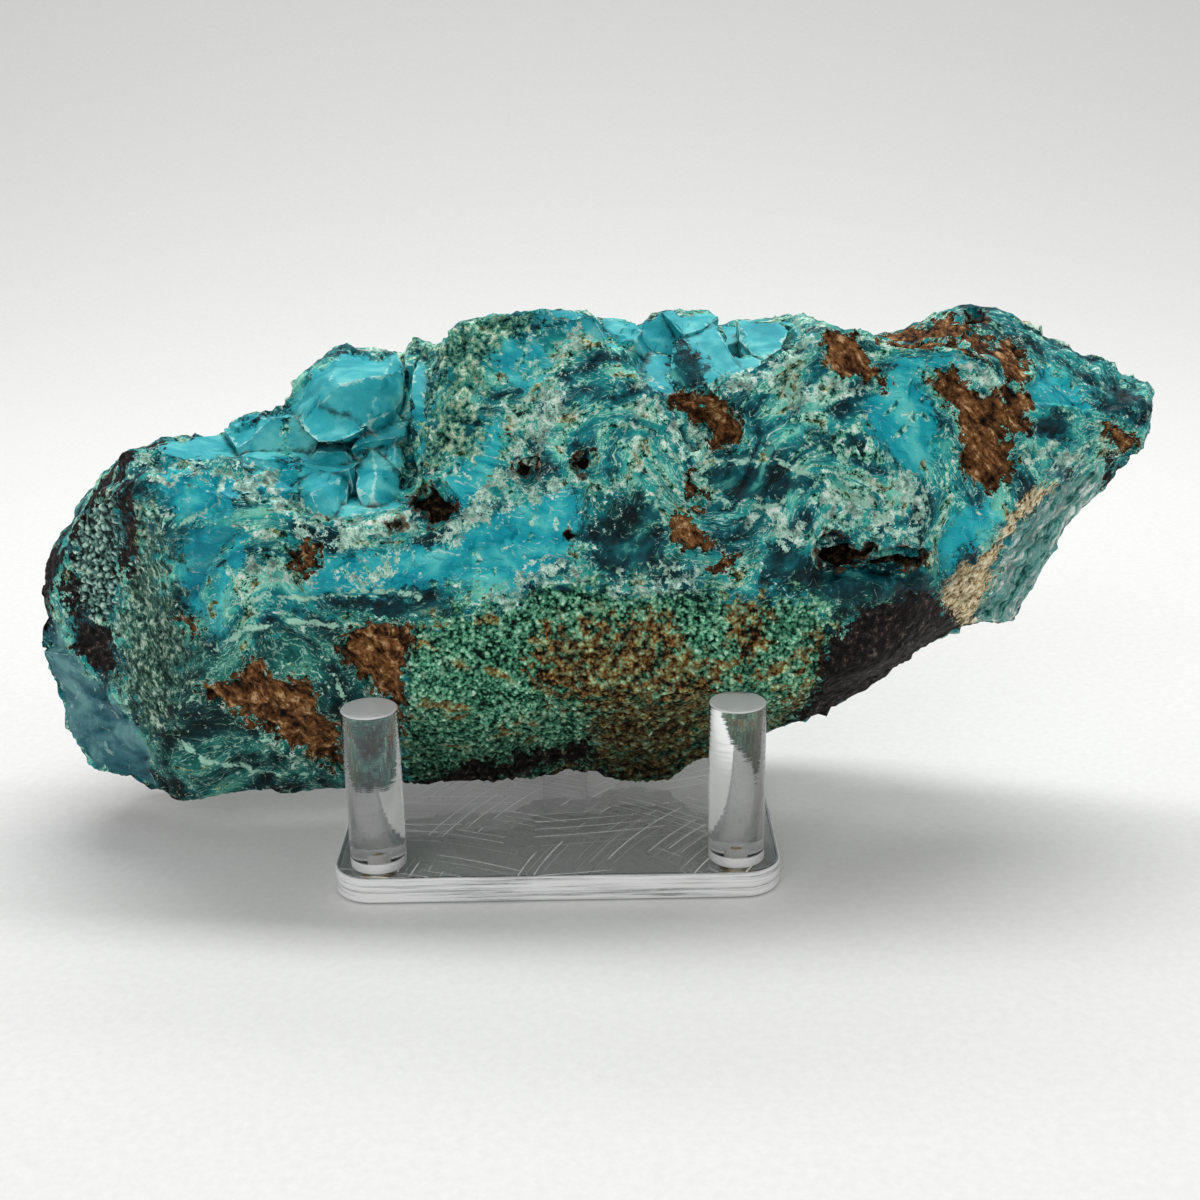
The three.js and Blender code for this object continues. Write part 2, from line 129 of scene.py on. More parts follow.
class Finish:
    """A node material with its shader, and the few kinds of node that the finishes are built from."""

    def __init__(self, name):
        self.material = bpy.data.materials.new(name)
        self.material.use_nodes = True
        self.tree = self.material.node_tree
        self.shader = self.tree.nodes["Principled BSDF"]
        self.output = self.tree.nodes["Material Output"]

    def node(self, kind, sockets=(), **settings):
        made_node = self.tree.nodes.new("ShaderNode" + kind)
        for key, value in settings.items():
            setattr(made_node, key, value)
        for key, value in dict(sockets).items():
            self.feed(made_node.inputs[key], value)
        return made_node

    def feed(self, socket, value):
        if isinstance(value, bpy.types.NodeSocket):
            self.tree.links.new(value, socket)
        else:
            socket.default_value = value

    def set(self, **sockets):
        for key, value in sockets.items():
            self.feed(self.shader.inputs[key.replace("_", " ")], value)

    def place(self):
        spot = self.node("TexCoord").outputs["Object"]
        return self.stretch(spot, (1 / MM, 1 / MM, 1 / MM))

    def stretch(self, spot, sizes):
        return self.node("VectorMath", {0: spot, 1: sizes}, operation="MULTIPLY").outputs[0]

    def cloud(self, spot, size, detail, rough=0.5):
        cloud = self.node("TexNoise", {"Vector": spot, "Scale": 1 / size, "Detail": detail,
                                       "Roughness": rough})
        return cloud.outputs["Fac"]

    def reckon(self, how, a, b, clamp=False):
        return self.node("Math", {0: a, 1: b}, operation=how, use_clamp=clamp).outputs[0]

    def add(self, a, b, clamp=False):
        return self.reckon("ADD", a, b, clamp)

    def times(self, a, b):
        return self.reckon("MULTIPLY", a, b)

    def less(self, a, b):
        return self.reckon("SUBTRACT", a, b)

    def most(self, a, b):
        return self.reckon("MAXIMUM", a, b)

    def size_of(self, value):
        return self.node("Math", {0: value}, operation="ABSOLUTE").outputs[0]

    def upward(self):
        facing = self.node("NewGeometry").outputs["Normal"]
        return self.node("SeparateXYZ", {0: facing}).outputs["Z"]

    def up(self, spot):
        return self.node("SeparateXYZ", {0: spot}).outputs["Z"]

    def fit(self, value, low, high, to_low=0.0, to_high=1.0):
        fitted = self.node("MapRange", {"Value": value, "From Min": low, "From Max": high,
                                        "To Min": to_low, "To Max": to_high})
        return fitted.outputs["Result"]

    def blend(self, share, below, above):
        mixed = self.node("Mix", {0: share, 6: below, 7: above}, data_type="RGBA")
        return mixed.outputs[2]

    def between(self, share, below, above):
        mixed = self.node("Mix", {0: share, 2: below, 3: above}, data_type="FLOAT")
        return mixed.outputs[0]

    def shades(self, value, stops):
        ramp = self.node("ValToRGB", {"Fac": value})
        bands = ramp.color_ramp.elements
        while len(bands) < len(stops):
            bands.new(0.5)
        for band, (at, colour) in zip(bands, stops):
            band.position = at
            band.color = paint(*colour)
        return ramp.outputs["Color"]

    def bump(self, height, depth, strength=1.0):
        bump = self.node("Bump", {"Height": height, "Distance": depth * MM, "Strength": strength})
        return bump.outputs["Normal"]


def paint(red, green, blue):
    """A colour as it is seen, in steps of 255, as the light that the shader works in."""
    seen = [c / 255 for c in (red, green, blue)]
    return tuple(c / 12.92 if c <= 0.04045 else ((c + 0.055) / 1.055) ** 2.4 for c in seen) + (1,)


def clear_acrylic(name):
    finish = Finish(name)
    finish.set(Base_Color=(1, 1, 1, 1), IOR=ACRYLIC_BEND, Transmission_Weight=1.0)
    inside = finish.node("VolumeAbsorption", {"Color": ACRYLIC_TINT, "Density": ACRYLIC_DEPTH})
    finish.tree.links.new(inside.outputs["Volume"], finish.output.inputs["Volume"])
    return finish


plate_finish = clear_acrylic("scratched clear acrylic")
spot = plate_finish.place()
upward = plate_finish.upward()
on_top = plate_finish.fit(upward, 0.9, 0.98)
scratches = 0.0
for centre, spacing, worn in SCRATCHED_ABOUT:
    shifted = plate_finish.node("VectorMath", {0: spot, 1: centre}, operation="SUBTRACT").outputs[0]
    waves = {"Vector": shifted, "Scale": RINGS_PER_STEP / spacing, "Distortion": 0.7, "Detail": 2.0,
             "Detail Scale": 0.4}
    arcs = plate_finish.node("TexWave", waves, wave_type="RINGS", rings_direction="Z").outputs["Fac"]
    radius = plate_finish.node("VectorMath", {0: shifted}, operation="LENGTH").outputs["Value"]
    chosen = plate_finish.fit(plate_finish.cloud(radius, spacing, 1), 0.48, 0.58)
    lines = plate_finish.times(plate_finish.fit(arcs, 0.970, 0.986), chosen)
    patchy = plate_finish.fit(plate_finish.cloud(shifted, 26, 2), worn, worn + 0.05)
    scratches = plate_finish.add(scratches, plate_finish.times(lines, patchy), clamp=True)
scratches = plate_finish.times(scratches, on_top)
haze = plate_finish.fit(plate_finish.cloud(spot, 7, 3, 0.7), 0.5, 0.8, 0.0, 0.05)
saw_lines = plate_finish.cloud(plate_finish.stretch(spot, SAW_STREAK), 1.0, 4, 0.65)
on_edge = plate_finish.fit(plate_finish.size_of(upward), 0.985, 0.6)
streaks = plate_finish.times(plate_finish.fit(saw_lines, 0.36, 0.62, 0.2, 0.8), on_edge)
rough = plate_finish.add(plate_finish.times(scratches, 0.5), haze)
rough = plate_finish.add(rough, streaks, clamp=True)
clear = plate_finish.fit(plate_finish.add(streaks, scratches), 0.0, 0.6, 1.0, 0.1)
plate_finish.set(Roughness=rough, Transmission_Weight=clear, Normal=plate_finish.bump(streaks, 0.10))

peg_names = ("front_left", "front_right", "back")
peg_places = [middle(f"{place}_peg") for place in peg_names]
plate_mesh = bmesh.new()
profile = eased(PLATE_EASE, EASE_STEPS)
profile += [(inset, PLATE_THICK - up) for inset, up in reversed(profile)]
sides = [ring(plate_mesh, round_square(PLATE_SIDE / 2 - inset, PLATE_CORNER - inset), up)
         for inset, up in profile]
for lower, upper in zip(sides, sides[1:]):
    skirt(plate_mesh, lower, upper)
holes = []
for place in peg_places:
    bore = [ring(plate_mesh, circle(radius, HOLE_STEPS, place), up)
            for radius, up in ((SINK_RADIUS, 0), (HOLE_RADIUS, SINK_DEPTH),
                               (HOLE_RADIUS, PLATE_THICK))]
    for lower, upper in zip(bore, bore[1:]):
        skirt(plate_mesh, lower, upper)
    holes.append(bore)
cap(plate_mesh, [sides[0]] + [bore[0] for bore in holes])
cap(plate_mesh, [sides[-1]] + [bore[-1] for bore in holes])
made("plate", plate_mesh, plate_finish.material, "stand_plate")

# Screws. Small brass wood screws with slotted countersunk heads, turned and rolled on an automatic.
# Each goes up through the plate into the foot of its peg and holds it there.
HEAD_RADIUS = 4.0
HEAD_HEIGHT = 2.4
HEAD_LIP = 0.25
SHANK_RADIUS = 1.5
THREAD_DEPTH = 0.28
THREAD_PITCH = 0.9
SCREW_REACH = 3.5
SLOT_WIDTH = 1.0
SLOT_DEPTH = 0.9
SCREW_STEPS = 48
THREAD_RINGS = 36
THREAD_START = 0.4
THREAD_LIFT = 0.02
TIP_LENGTH = 0.5
TIP_TAPER = 0.9
SCREW_SHARP = 35
BRASS = paint(206, 170, 98)
BRASS_DULL = paint(150, 112, 58)

brass = Finish("turned brass")
spot = brass.place()
turned = brass.cloud(brass.stretch(spot, (0.4, 0.4, 6.0)), 1.0, 4, 0.6)
tarnish = brass.cloud(spot, 1.6, 5, 0.65)
brass.set(Base_Color=brass.blend(brass.fit(tarnish, 0.45, 0.7), BRASS, BRASS_DULL), Metallic=1.0,
          Roughness=brass.fit(tarnish, 0.3, 0.7, 0.2, 0.42), Normal=brass.bump(turned, 0.03))

screw_tip = PLATE_THICK + SCREW_REACH
thread_foot = HEAD_HEIGHT + THREAD_START
for place_name, (x, y, _) in zip(peg_names, peg_places):
    screw_mesh = bmesh.new()
    outline = circle(1.0, SCREW_STEPS)
    rings = []
    for radius, up in ((HEAD_RADIUS - HEAD_LIP, 0), (HEAD_RADIUS, HEAD_LIP),
                       (SHANK_RADIUS, HEAD_HEIGHT), (SHANK_RADIUS, thread_foot)):
        rings.append(ring(screw_mesh, [(x + radius * a, y + radius * b) for a, b in outline], up))
    for step in range(THREAD_RINGS + 1):
        climb = (screw_tip - TIP_LENGTH - thread_foot) * step / THREAD_RINGS
        loop = []
        for i, (a, b) in enumerate(outline):
            turn = (climb / THREAD_PITCH + i / SCREW_STEPS) % 1
            radius = SHANK_RADIUS - THREAD_DEPTH * abs(2 * turn - 1)
            loop.append((x + radius * a, y + radius * b))
        rings.append(ring(screw_mesh, loop, thread_foot + THREAD_LIFT + climb))
    rings.append(ring(screw_mesh, circle(SHANK_RADIUS - TIP_TAPER, SCREW_STEPS, (x, y)), screw_tip))
    for lower, upper in zip(rings, rings[1:]):
        skirt(screw_mesh, lower, upper)
    screw_mesh.faces.new(rings[0])
    screw_mesh.faces.new(rings[-1])
    slot_mesh = bmesh.new()
    corners = [(sx * 1.5 * HEAD_RADIUS, sy * SLOT_WIDTH / 2)
               for sx, sy in ((1, 1), (-1, 1), (-1, -1), (1, -1))]
    floor_ring, roof_ring = [ring(slot_mesh, [(x + a, y + b) for a, b in corners], up)
                             for up in (-1.0, SLOT_DEPTH)]
    skirt(slot_mesh, floor_ring, roof_ring)
    slot_mesh.faces.new(floor_ring)
    slot_mesh.faces.new(roof_ring)
    bmesh.ops.recalc_face_normals(slot_mesh, faces=slot_mesh.faces[:])
    slot_cutter = bpy.data.objects.new("slot_cutter", bpy.data.meshes.new("slot cutter"))
    slot_mesh.to_mesh(slot_cutter.data)
    slot_mesh.free()
    bpy.context.scene.collection.objects.link(slot_cutter)
    screw = made(f"{place_name}_brass_screw", screw_mesh, brass.material,
                 f"{place_name}_screw")
    slotting = screw.modifiers.new("slot", "BOOLEAN")
    slotting.object = slot_cutter
    slotting.solver = "EXACT"
    bpy.context.view_layer.update()
    finished = screw.evaluated_get(bpy.context.evaluated_depsgraph_get())
    slotted = bpy.data.meshes.new_from_object(finished)
    screw.modifiers.clear()
    screw.data = slotted
    slotted.set_sharp_from_angle(angle=math.radians(SCREW_SHARP))
    bpy.data.objects.remove(slot_cutter)

# Pegs. Lengths of clear acrylic rod, sawn and polished, standing upright on the plate.
# Faint rings from drawing the rod show on their sides, and both ends are milky from the saw.
# Each has a blind hole in its foot for its screw.
PEG_RADIUS = 6.35
PEG_EASE = 0.5
PEG_STEPS = 96
BORE_DEPTH = 3.35
FOOT_BAND = 2.6
FOOT_FADE = 0.2

peg_finish = clear_acrylic("polished clear acrylic rod")
spot = peg_finish.place()
on_end = peg_finish.fit(peg_finish.size_of(peg_finish.upward()), 0.25, 0.6)
band_top = PLATE_THICK + FOOT_BAND
foot_band = peg_finish.fit(peg_finish.up(spot), band_top + FOOT_FADE, band_top - FOOT_FADE)
on_end = peg_finish.most(on_end, foot_band)
drawn_rings = peg_finish.cloud(peg_finish.stretch(spot, (0.02, 0.02, 1.1)), 1.0, 3, 0.55)
milky = peg_finish.fit(peg_finish.cloud(spot, 1.3, 4, 0.7), 0.3, 0.7, 0.28, 0.5)
rough = peg_finish.between(on_end, peg_finish.fit(drawn_rings, 0.4, 0.8, 0.0, 0.06), milky)
peg_finish.set(Roughness=rough, Normal=peg_finish.bump(drawn_rings, 0.05),
               Transmission_Weight=peg_finish.fit(on_end, 0.0, 1.0, 1.0, 0.3))

for place_name, (x, y, _) in zip(peg_names, peg_places):
    low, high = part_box(f"{place_name}_peg")
    foot, top = low.z / MM, high.z / MM
    peg_mesh = bmesh.new()
    ends = eased(PEG_EASE, EASE_STEPS)
    outline = [(PEG_RADIUS - inset, foot + up) for inset, up in ends]
    outline += [(PEG_RADIUS - inset, top - up) for inset, up in reversed(ends)]
    sides = [ring(peg_mesh, circle(radius, PEG_STEPS, (x, y)), up) for radius, up in outline]
    for lower, upper in zip(sides, sides[1:]):
        skirt(peg_mesh, lower, upper)
    bore = [ring(peg_mesh, circle(HOLE_RADIUS, HOLE_STEPS, (x, y)), up)
            for up in (foot, foot + BORE_DEPTH)]
    cap(peg_mesh, [sides[-1]])
    skirt(peg_mesh, *bore)
    cap(peg_mesh, [sides[0], bore[0]])
    cap(peg_mesh, [bore[1]])
    made(f"{place_name}_rod", peg_mesh, peg_finish.material, f"{place_name}_peg")

# Stone. One raw lump of chrysocolla as it was broken out: clean turquoise blocks, marbled teal with
# pale crusts, a green crust of tiny knobs, brown limonite and black matrix, with weathered hollows.
# It lies loose between the pegs, and its marks are laid out as they are seen from the front.
EYE = np.array([10.7, -379.8, 184.0])
PITCH = math.radians(18.9)
ROLL = math.radians(-1.0)
FOCAL = 1650.0
PICTURE = 1200
SCALE = 4.2
SEEN_EDGE = 1.04
BLOCK_EDGE = 1.5
KNOB_EDGE = 0.68
FAR_EDGE = 2.7
SMOOTHING = 26
STAND_CLEAR = 0.2
MARBLE_SEED = 2
OUTSIDE = -12.0
DEEPEST = 8.0
SPLIT_OVER = 1.35
STONE_SHARP = 32

ahead = np.array([0, math.cos(PITCH), -math.sin(PITCH)])
across = np.array([1.0, 0, 0])
above = np.cross(across, ahead)
across, above = (math.cos(ROLL) * across + math.sin(ROLL) * above,
                 math.cos(ROLL) * above - math.sin(ROLL) * across)


def picture(points):
    """Where points of the stone are seen, in pixels of the picture."""
    sight = points - EYE
    depth = sight @ ahead
    return np.stack([PICTURE / 2 + FOCAL * (sight @ across) / depth,
                     PICTURE / 2 - FOCAL * (sight @ above) / depth], 1)


def to_path(seen, path, closed):
    """How far pixels are from a drawn line, and whether they are inside it."""
    path = np.array(path, float)
    ends = np.roll(path, -1, 0) if closed else path[1:]
    starts = path if closed else path[:-1]
    far = np.full(len(seen), 1e9)
    within = np.zeros(len(seen), bool)
    for (ax, ay), (bx, by) in zip(starts, ends):
        run = np.array([bx - ax, by - ay])
        off = seen - (ax, ay)
        share = np.clip(off @ run / (run @ run), 0, 1)
        far = np.minimum(far, np.hypot(*(off - share[:, None] * run).T))
        if by != ay:
            crossing = (ay > seen[:, 1]) != (by > seen[:, 1])
            within ^= crossing & (seen[:, 0] < (bx - ax) * (seen[:, 1] - ay) / (by - ay) + ax)
    return far, within


def drawn(seen, outlines=(), bands=()):
    """How deep inside the nearest drawn shape, in millimetres, with outside below nought."""
    depth = np.full(len(seen), OUTSIDE)
    margin = 40
    for shape, width in [(outline, None) for outline in outlines] + list(bands):
        low = np.min(shape, 0) - margin
        high = np.max(shape, 0) + margin
        near = np.where(((seen > low) & (seen < high)).all(1))[0]
        if len(near) == 0:
            continue
        far, within = to_path(seen[near], shape, width is None)
        inside = np.where(within, far, -far) if width is None else width / 2 - far
        depth[near] = np.maximum(depth[near], inside / SCALE)
    return depth


BROKEN = (
    ((155, 447), (163, 436), (239, 423), (283, 406), (286, 433), (276, 476), (262, 478), (240, 462),
     (222, 455), (200, 458), (178, 462), (160, 462)),
    ((285, 405), (298, 376), (336, 336), (369, 338), (405, 350), (408, 408), (412, 440), (406, 470),
     (398, 512), (341, 519), (301, 512), (297, 482), (300, 462), (286, 450), (290, 432)),
    ((405, 352), (420, 352), (425, 362), (440, 365), (438, 395), (420, 400), (416, 425), (410, 430)),
    ((527, 312), (545, 303), (568, 302), (590, 308), (610, 316), (628, 318), (630, 335), (600, 335),
     (575, 325), (545, 325)),
    ((612, 318), (640, 310), (676, 300), (705, 304), (735, 316), (790, 316), (800, 330), (786, 345),
     (770, 362), (748, 374), (722, 378), (716, 386), (690, 394), (660, 396), (644, 385), (640, 362)),
)
CLEAN = (
    ((443, 462), (470, 460), (476, 425), (500, 420), (505, 450), (490, 480), (478, 500), (462, 515),
     (450, 500), (442, 480)),
    ((500, 336), (524, 328), (545, 346), (555, 364), (542, 382), (524, 390), (490, 372), (484, 352)),
    ((300, 568), (338, 555), (402, 550), (450, 545), (462, 528), (480, 520), (517, 502), (568, 486),
     (581, 505), (581, 530), (570, 552), (550, 571), (519, 594), (480, 588), (443, 586), (377, 592),
     (300, 594)),
    ((862, 400), (878, 392), (893, 364), (914, 357), (921, 387), (934, 423), (936, 455), (921, 474),
     (906, 474), (886, 448), (870, 433)),
    ((924, 360), (940, 354), (968, 356), (993, 366), (985, 374), (960, 374), (930, 370)),
    ((939, 545), (955, 520), (967, 508), (990, 502), (998, 518), (983, 538), (957, 566), (941, 578)),
    ((236, 527), (246, 535), (242, 560), (228, 588), (220, 618), (224, 640), (206, 636), (213, 602),
     (216, 570), (226, 548)),
    ((178, 537), (200, 527), (225, 520), (236, 527), (228, 545), (215, 560), (212, 580), (198, 592),
     (206, 612), (210, 626), (180, 608), (175, 590), (170, 570)),
    ((1030, 380), (1050, 372), (1075, 390), (1090, 410), (1060, 402), (1035, 405)),
)
LACE = (
    ((760, 395), (800, 345), (830, 375), (880, 395), (880, 440), (915, 480), (930, 530), (880, 535),
     (830, 530), (800, 500), (815, 480), (780, 460), (740, 440), (745, 400)),
    ((640, 385), (690, 410), (690, 470), (660, 500), (600, 490), (560, 440), (555, 410), (600, 405)),
    ((240, 480), (290, 500), (300, 540), (270, 600), (225, 660), (240, 540)),
    ((440, 380), (520, 385), (560, 405), (530, 440), (480, 430), (445, 410)),
    ((150, 500), (230, 500), (240, 520), (190, 530), (150, 540)),
    ((1035, 420), (1075, 410), (1100, 440), (1095, 470), (1040, 450)),
)
SWIRLS = (
    ((757, 485), 85, 0.8), ((865, 540), 80, -0.7), ((850, 440), 110, 0.7), ((430, 505), 60, 0.7),
    ((300, 560), 60, -0.7), ((585, 460), 60, 0.6), ((690, 430), 60, -0.7), ((640, 560), 70, 0.7),
    ((1000, 430), 170, -0.9), ((220, 640), 110, 0.9), ((240, 480), 80, -0.8),
)
FLOW_DRAW = 0.6
SHARDS = (
    ((155, 452), (200, 462), (240, 470), (285, 452), (300, 470), (296, 505), (262, 500), (240, 490),
     (232, 520), (200, 528), (170, 515), (150, 490)),
    ((555, 316), (600, 312), (640, 330), (640, 350), (600, 340), (560, 335)),
    ((735, 318), (790, 318), (815, 330), (800, 350), (770, 372), (740, 376), (720, 350)),
    ((398, 355), (438, 366), (440, 400), (428, 470), (405, 470), (405, 430)),
)
FIBRES = (
    ("", 8, 6.0, 1.1),
    ("fibrous", 66, 5.0, 0.9),
    ("streaked", 124, 14.0, 1.5),
    ("tan", 128, 2.4, 0.9),
    ("black", 150, 2.0, 1.2),
    ("slate", 60, 6.0, 2.2),
    ("brown", 52, 5.0, 1.5),
)
DEEP = (
    ((672, 346), (681, 337), (709, 361), (704, 388), (680, 397), (668, 380)),
    ((119, 470), (135, 478), (150, 476), (152, 495), (140, 505), (125, 488)),
    ((697, 469), (735, 462), (779, 467), (812, 481), (784, 502), (743, 506), (715, 492)),
    ((707, 452), (735, 446), (779, 448), (772, 460), (735, 458), (705, 464)),
    ((593, 535), (652, 530), (665, 545), (652, 573), (601, 581)),
    ((628, 505), (660, 500), (662, 520), (640, 526)),
    ((346, 601), (389, 596), (443, 596), (451, 604), (415, 619), (377, 617)),
    ((817, 572), (850, 566), (939, 568), (935, 592), (880, 599), (824, 596)),
    ((770, 540), (800, 545), (815, 560), (822, 590), (790, 596), (760, 575)),
    ((1033, 420), (1048, 409), (1073, 415), (1070, 441), (1035, 438)),
    ((1098, 388), (1135, 384), (1146, 400), (1130, 418), (1100, 412)),
    ((691, 631), (734, 631), (737, 661), (727, 668), (697, 648)),
    ((400, 785), (470, 780), (540, 778), (600, 776), (600, 790), (400, 795)),
)
PALE = (
    (((239, 474), (270, 484), (290, 515), (301, 533), (352, 535), (403, 520)), 14),
    (((453, 532), (484, 504), (510, 477), (530, 445), (546, 420), (552, 396)), 17),
    (((463, 528), (519, 503), (555, 483)), 6),
    (((260, 723), (278, 744), (290, 756)), 8),
    (((690, 426), (700, 440), (694, 452)), 20),
    (((1017, 460), (1045, 455), (1073, 462)), 9),
    (((975, 368), (990, 380), (1002, 388)), 16),
    (((640, 385), (655, 400), (648, 415)), 9),
    (((790, 350), (800, 335), (806, 322)), 5),
    (((725, 384), (765, 372), (790, 352)), 7),
    (((800, 398), (830, 388), (862, 390)), 9),
    (((905, 480), (916, 505), (905, 530)), 16),
    (((830, 500), (870, 515), (900, 528)), 14),
    (((750, 512), (770, 520), (790, 535)), 14),
    (((260, 565), (285, 575), (310, 572)), 10),
    (((620, 588), (650, 582), (690, 578)), 12),
    (((342, 578), (360, 572), (380, 575), (388, 563), (400, 556)), 5),
    (((502, 600), (520, 590), (528, 578), (545, 570), (575, 575)), 5),
    (((560, 350), (580, 330), (560, 320)), 7),
    (((130, 462), (150, 457), (156, 470)), 9),
    (((165, 478), (190, 470), (235, 478), (262, 490)), 6),
)
THREADS = (
    ((693, 480), (714, 462), (765, 459), (801, 469), (827, 485), (868, 505), (909, 536), (929, 546)),
    ((704, 495), (734, 505), (775, 505), (801, 490)),
    ((663, 511), (670, 536), (683, 554), (714, 557)),
    ((647, 469), (663, 485), (657, 505), (663, 511)),
    ((806, 336), (793, 357), (801, 372), (786, 387), (765, 392)),
    ((888, 459), (914, 480), (929, 510), (939, 536)),
    ((811, 541), (816, 562), (832, 569), (868, 559), (919, 551), (934, 531)),
    ((206, 459), (222, 480), (214, 505), (190, 520), (165, 528)),
    ((172, 712), (201, 693), (245, 717), (284, 751), (333, 771)),
    ((177, 741), (206, 761), (264, 771), (313, 776)),
    ((235, 605), (269, 595), (313, 600), (357, 590), (420, 595)),
    ((206, 654), (245, 629), (294, 620), (338, 624)),
    ((325, 660), (340, 690), (352, 720), (350, 760)),
)
THREAD_WIDTH = 2.4
MOSS = (
    ((402, 345), (410, 330), (425, 325), (440, 330), (448, 322), (470, 320), (490, 310), (525, 310),
     (520, 330), (500, 345), (480, 360), (482, 380), (470, 400), (480, 430), (476, 455), (440, 462),
     (415, 470), (412, 430), (430, 405), (442, 395), (445, 370), (425, 352)),
)
BROWN = (
    ((669, 400), (684, 393), (702, 390), (722, 392), (733, 418), (740, 433), (730, 443), (710, 447),
     (712, 430), (702, 423), (682, 413)),
    ((824, 331), (835, 320), (852, 327), (860, 339), (875, 367), (891, 385), (883, 390), (868, 379),
     (850, 374), (835, 369), (824, 354)),
    ((875, 329), (901, 319), (921, 322), (939, 313), (966, 320), (993, 340), (1020, 347), (1029, 365),
     (1029, 385), (1015, 378), (1002, 365), (993, 354), (975, 349), (944, 343), (904, 345), (879, 336)),
    ((926, 378), (950, 372), (959, 380), (971, 389), (988, 398), (1002, 387), (1015, 418), (1004, 436),
     (1020, 470), (1004, 481), (993, 490), (975, 481), (962, 470), (964, 450), (957, 412), (939, 394)),
    ((1005, 385), (1022, 392), (1030, 405), (1028, 430), (1012, 436), (1008, 410)),
    ((671, 525), (682, 512), (692, 525), (707, 538), (712, 545), (702, 552), (687, 550), (676, 538)),
    ((684, 474), (692, 472), (705, 507), (697, 506)),
    ((710, 571), (722, 558), (735, 556), (730, 568)),
    ((1104, 423), (1131, 432), (1140, 445), (1138, 461), (1122, 456), (1111, 445)),
    ((290, 550), (304, 543), (318, 543), (314, 556), (305, 560), (316, 566), (300, 574), (290, 566)),
    ((200, 693), (204, 684), (234, 680), (247, 661), (262, 662), (267, 675), (288, 682), (311, 682),
     (318, 716), (339, 723), (339, 769), (324, 764), (301, 749), (280, 744), (275, 731), (244, 721),
     (229, 705), (206, 700)),
    ((339, 642), (352, 629), (372, 624), (410, 624), (410, 649), (403, 670), (403, 733), (390, 733),
     (388, 695), (372, 693), (359, 670), (341, 657)),
    ((174, 619), (184, 617), (199, 630), (196, 635), (182, 628)),
)
BLACK = (
    ((824, 645), (845, 629), (858, 607), (893, 599), (924, 596), (942, 601), (955, 622), (975, 630),
     (940, 668), (906, 690), (860, 715), (770, 760), (755, 745), (800, 712), (827, 668)),
    ((426, 780), (459, 764), (512, 757), (565, 747), (588, 737), (595, 757), (552, 767), (512, 777),
     (459, 786)),
    ((68, 610), (104, 626), (116, 637), (114, 672), (94, 672), (76, 652)),
    ((1107, 447), (1116, 450), (1116, 490), (1105, 490)),
)
BLACK_LINES = (
    (((160, 434), (132, 438), (115, 467), (93, 492), (68, 515), (52, 545), (40, 590), (38, 620)), 22),
    (((119, 469), (125, 504), (134, 545), (124, 570)), 14),
    (((58, 545), (68, 580), (80, 620)), 13),
)
SHADED = (
    ((120, 660), (180, 610), (230, 640), (330, 610), (400, 600), (460, 590), (470, 625), (400, 640),
     (400, 820), (120, 830)),
    ((760, 560), (830, 560), (940, 560), (960, 600), (830, 640), (800, 600)),
    ((178, 537), (200, 527), (225, 520), (236, 527), (228, 545), (215, 560), (212, 580), (198, 592),
     (206, 612), (180, 608), (170, 570)),
    ((590, 500), (665, 495), (680, 590), (595, 590)),
)
TAN = (
    ((939, 597), (962, 568), (988, 550), (1002, 530), (1015, 505), (1033, 490), (1055, 482),
     (1058, 485), (1040, 503), (1020, 519), (1006, 539), (995, 561), (993, 579), (975, 615), (965, 645),
     (955, 630)),
)
STREAKED = (
    ((995, 579), (1020, 521), (1058, 488), (1096, 465), (1115, 503), (1095, 530), (1073, 550),
     (1055, 570), (1040, 615), (1020, 625), (970, 635)),
)
FIBROUS = (
    ((122, 520), (148, 510), (163, 535), (173, 586), (193, 637), (183, 680), (160, 735), (135, 715),
     (117, 680), (114, 640), (118, 600), (128, 560)),
)
SLATE = (
    ((36, 600), (66, 644), (97, 688), (132, 723), (148, 749), (153, 800), (125, 800), (105, 770),
     (60, 760), (50, 703), (36, 662)),
)
KNOBS = (
    ((400, 630), (463, 611), (519, 600), (542, 583), (606, 580), (616, 593), (700, 590), (745, 600),
     (800, 596), (826, 610), (838, 645), (826, 692), (782, 746), (712, 790), (598, 802), (400, 806),
     (398, 690)),
)
BEADS = (
    ((66, 520), (100, 497), (117, 489), (119, 520), (122, 560), (116, 600), (112, 624), (88, 616),
     (76, 600), (72, 560)),
)
RUST = (
    ((545, 631), (585, 625), (668, 622), (676, 651), (711, 671), (707, 704), (700, 766), (658, 780),
     (598, 780), (591, 717), (558, 697), (532, 664)),
    ((738, 600), (762, 604), (764, 668), (742, 672)),
    ((820, 640), (832, 640), (826, 680), (790, 725), (780, 720), (806, 690)),
)
HOLES = (
    ((412, 502), (422, 490), (435, 484), (443, 499), (453, 507), (445, 520), (433, 525), (430, 512)),
    ((513, 470), (518, 461), (535, 459), (532, 468), (520, 475)),
    ((574, 462), (593, 456), (590, 464), (580, 471)),
    ((817, 548), (824, 536), (836, 534), (850, 548), (880, 552), (926, 552), (924, 562), (884, 560),
     (855, 560), (836, 568), (824, 562)),
    ((966, 318), (968, 308), (984, 308), (986, 318), (976, 322)),
    ((388, 526), (400, 522), (404, 528), (394, 532)),
    ((562, 536), (570, 531), (578, 534), (570, 539)),
)

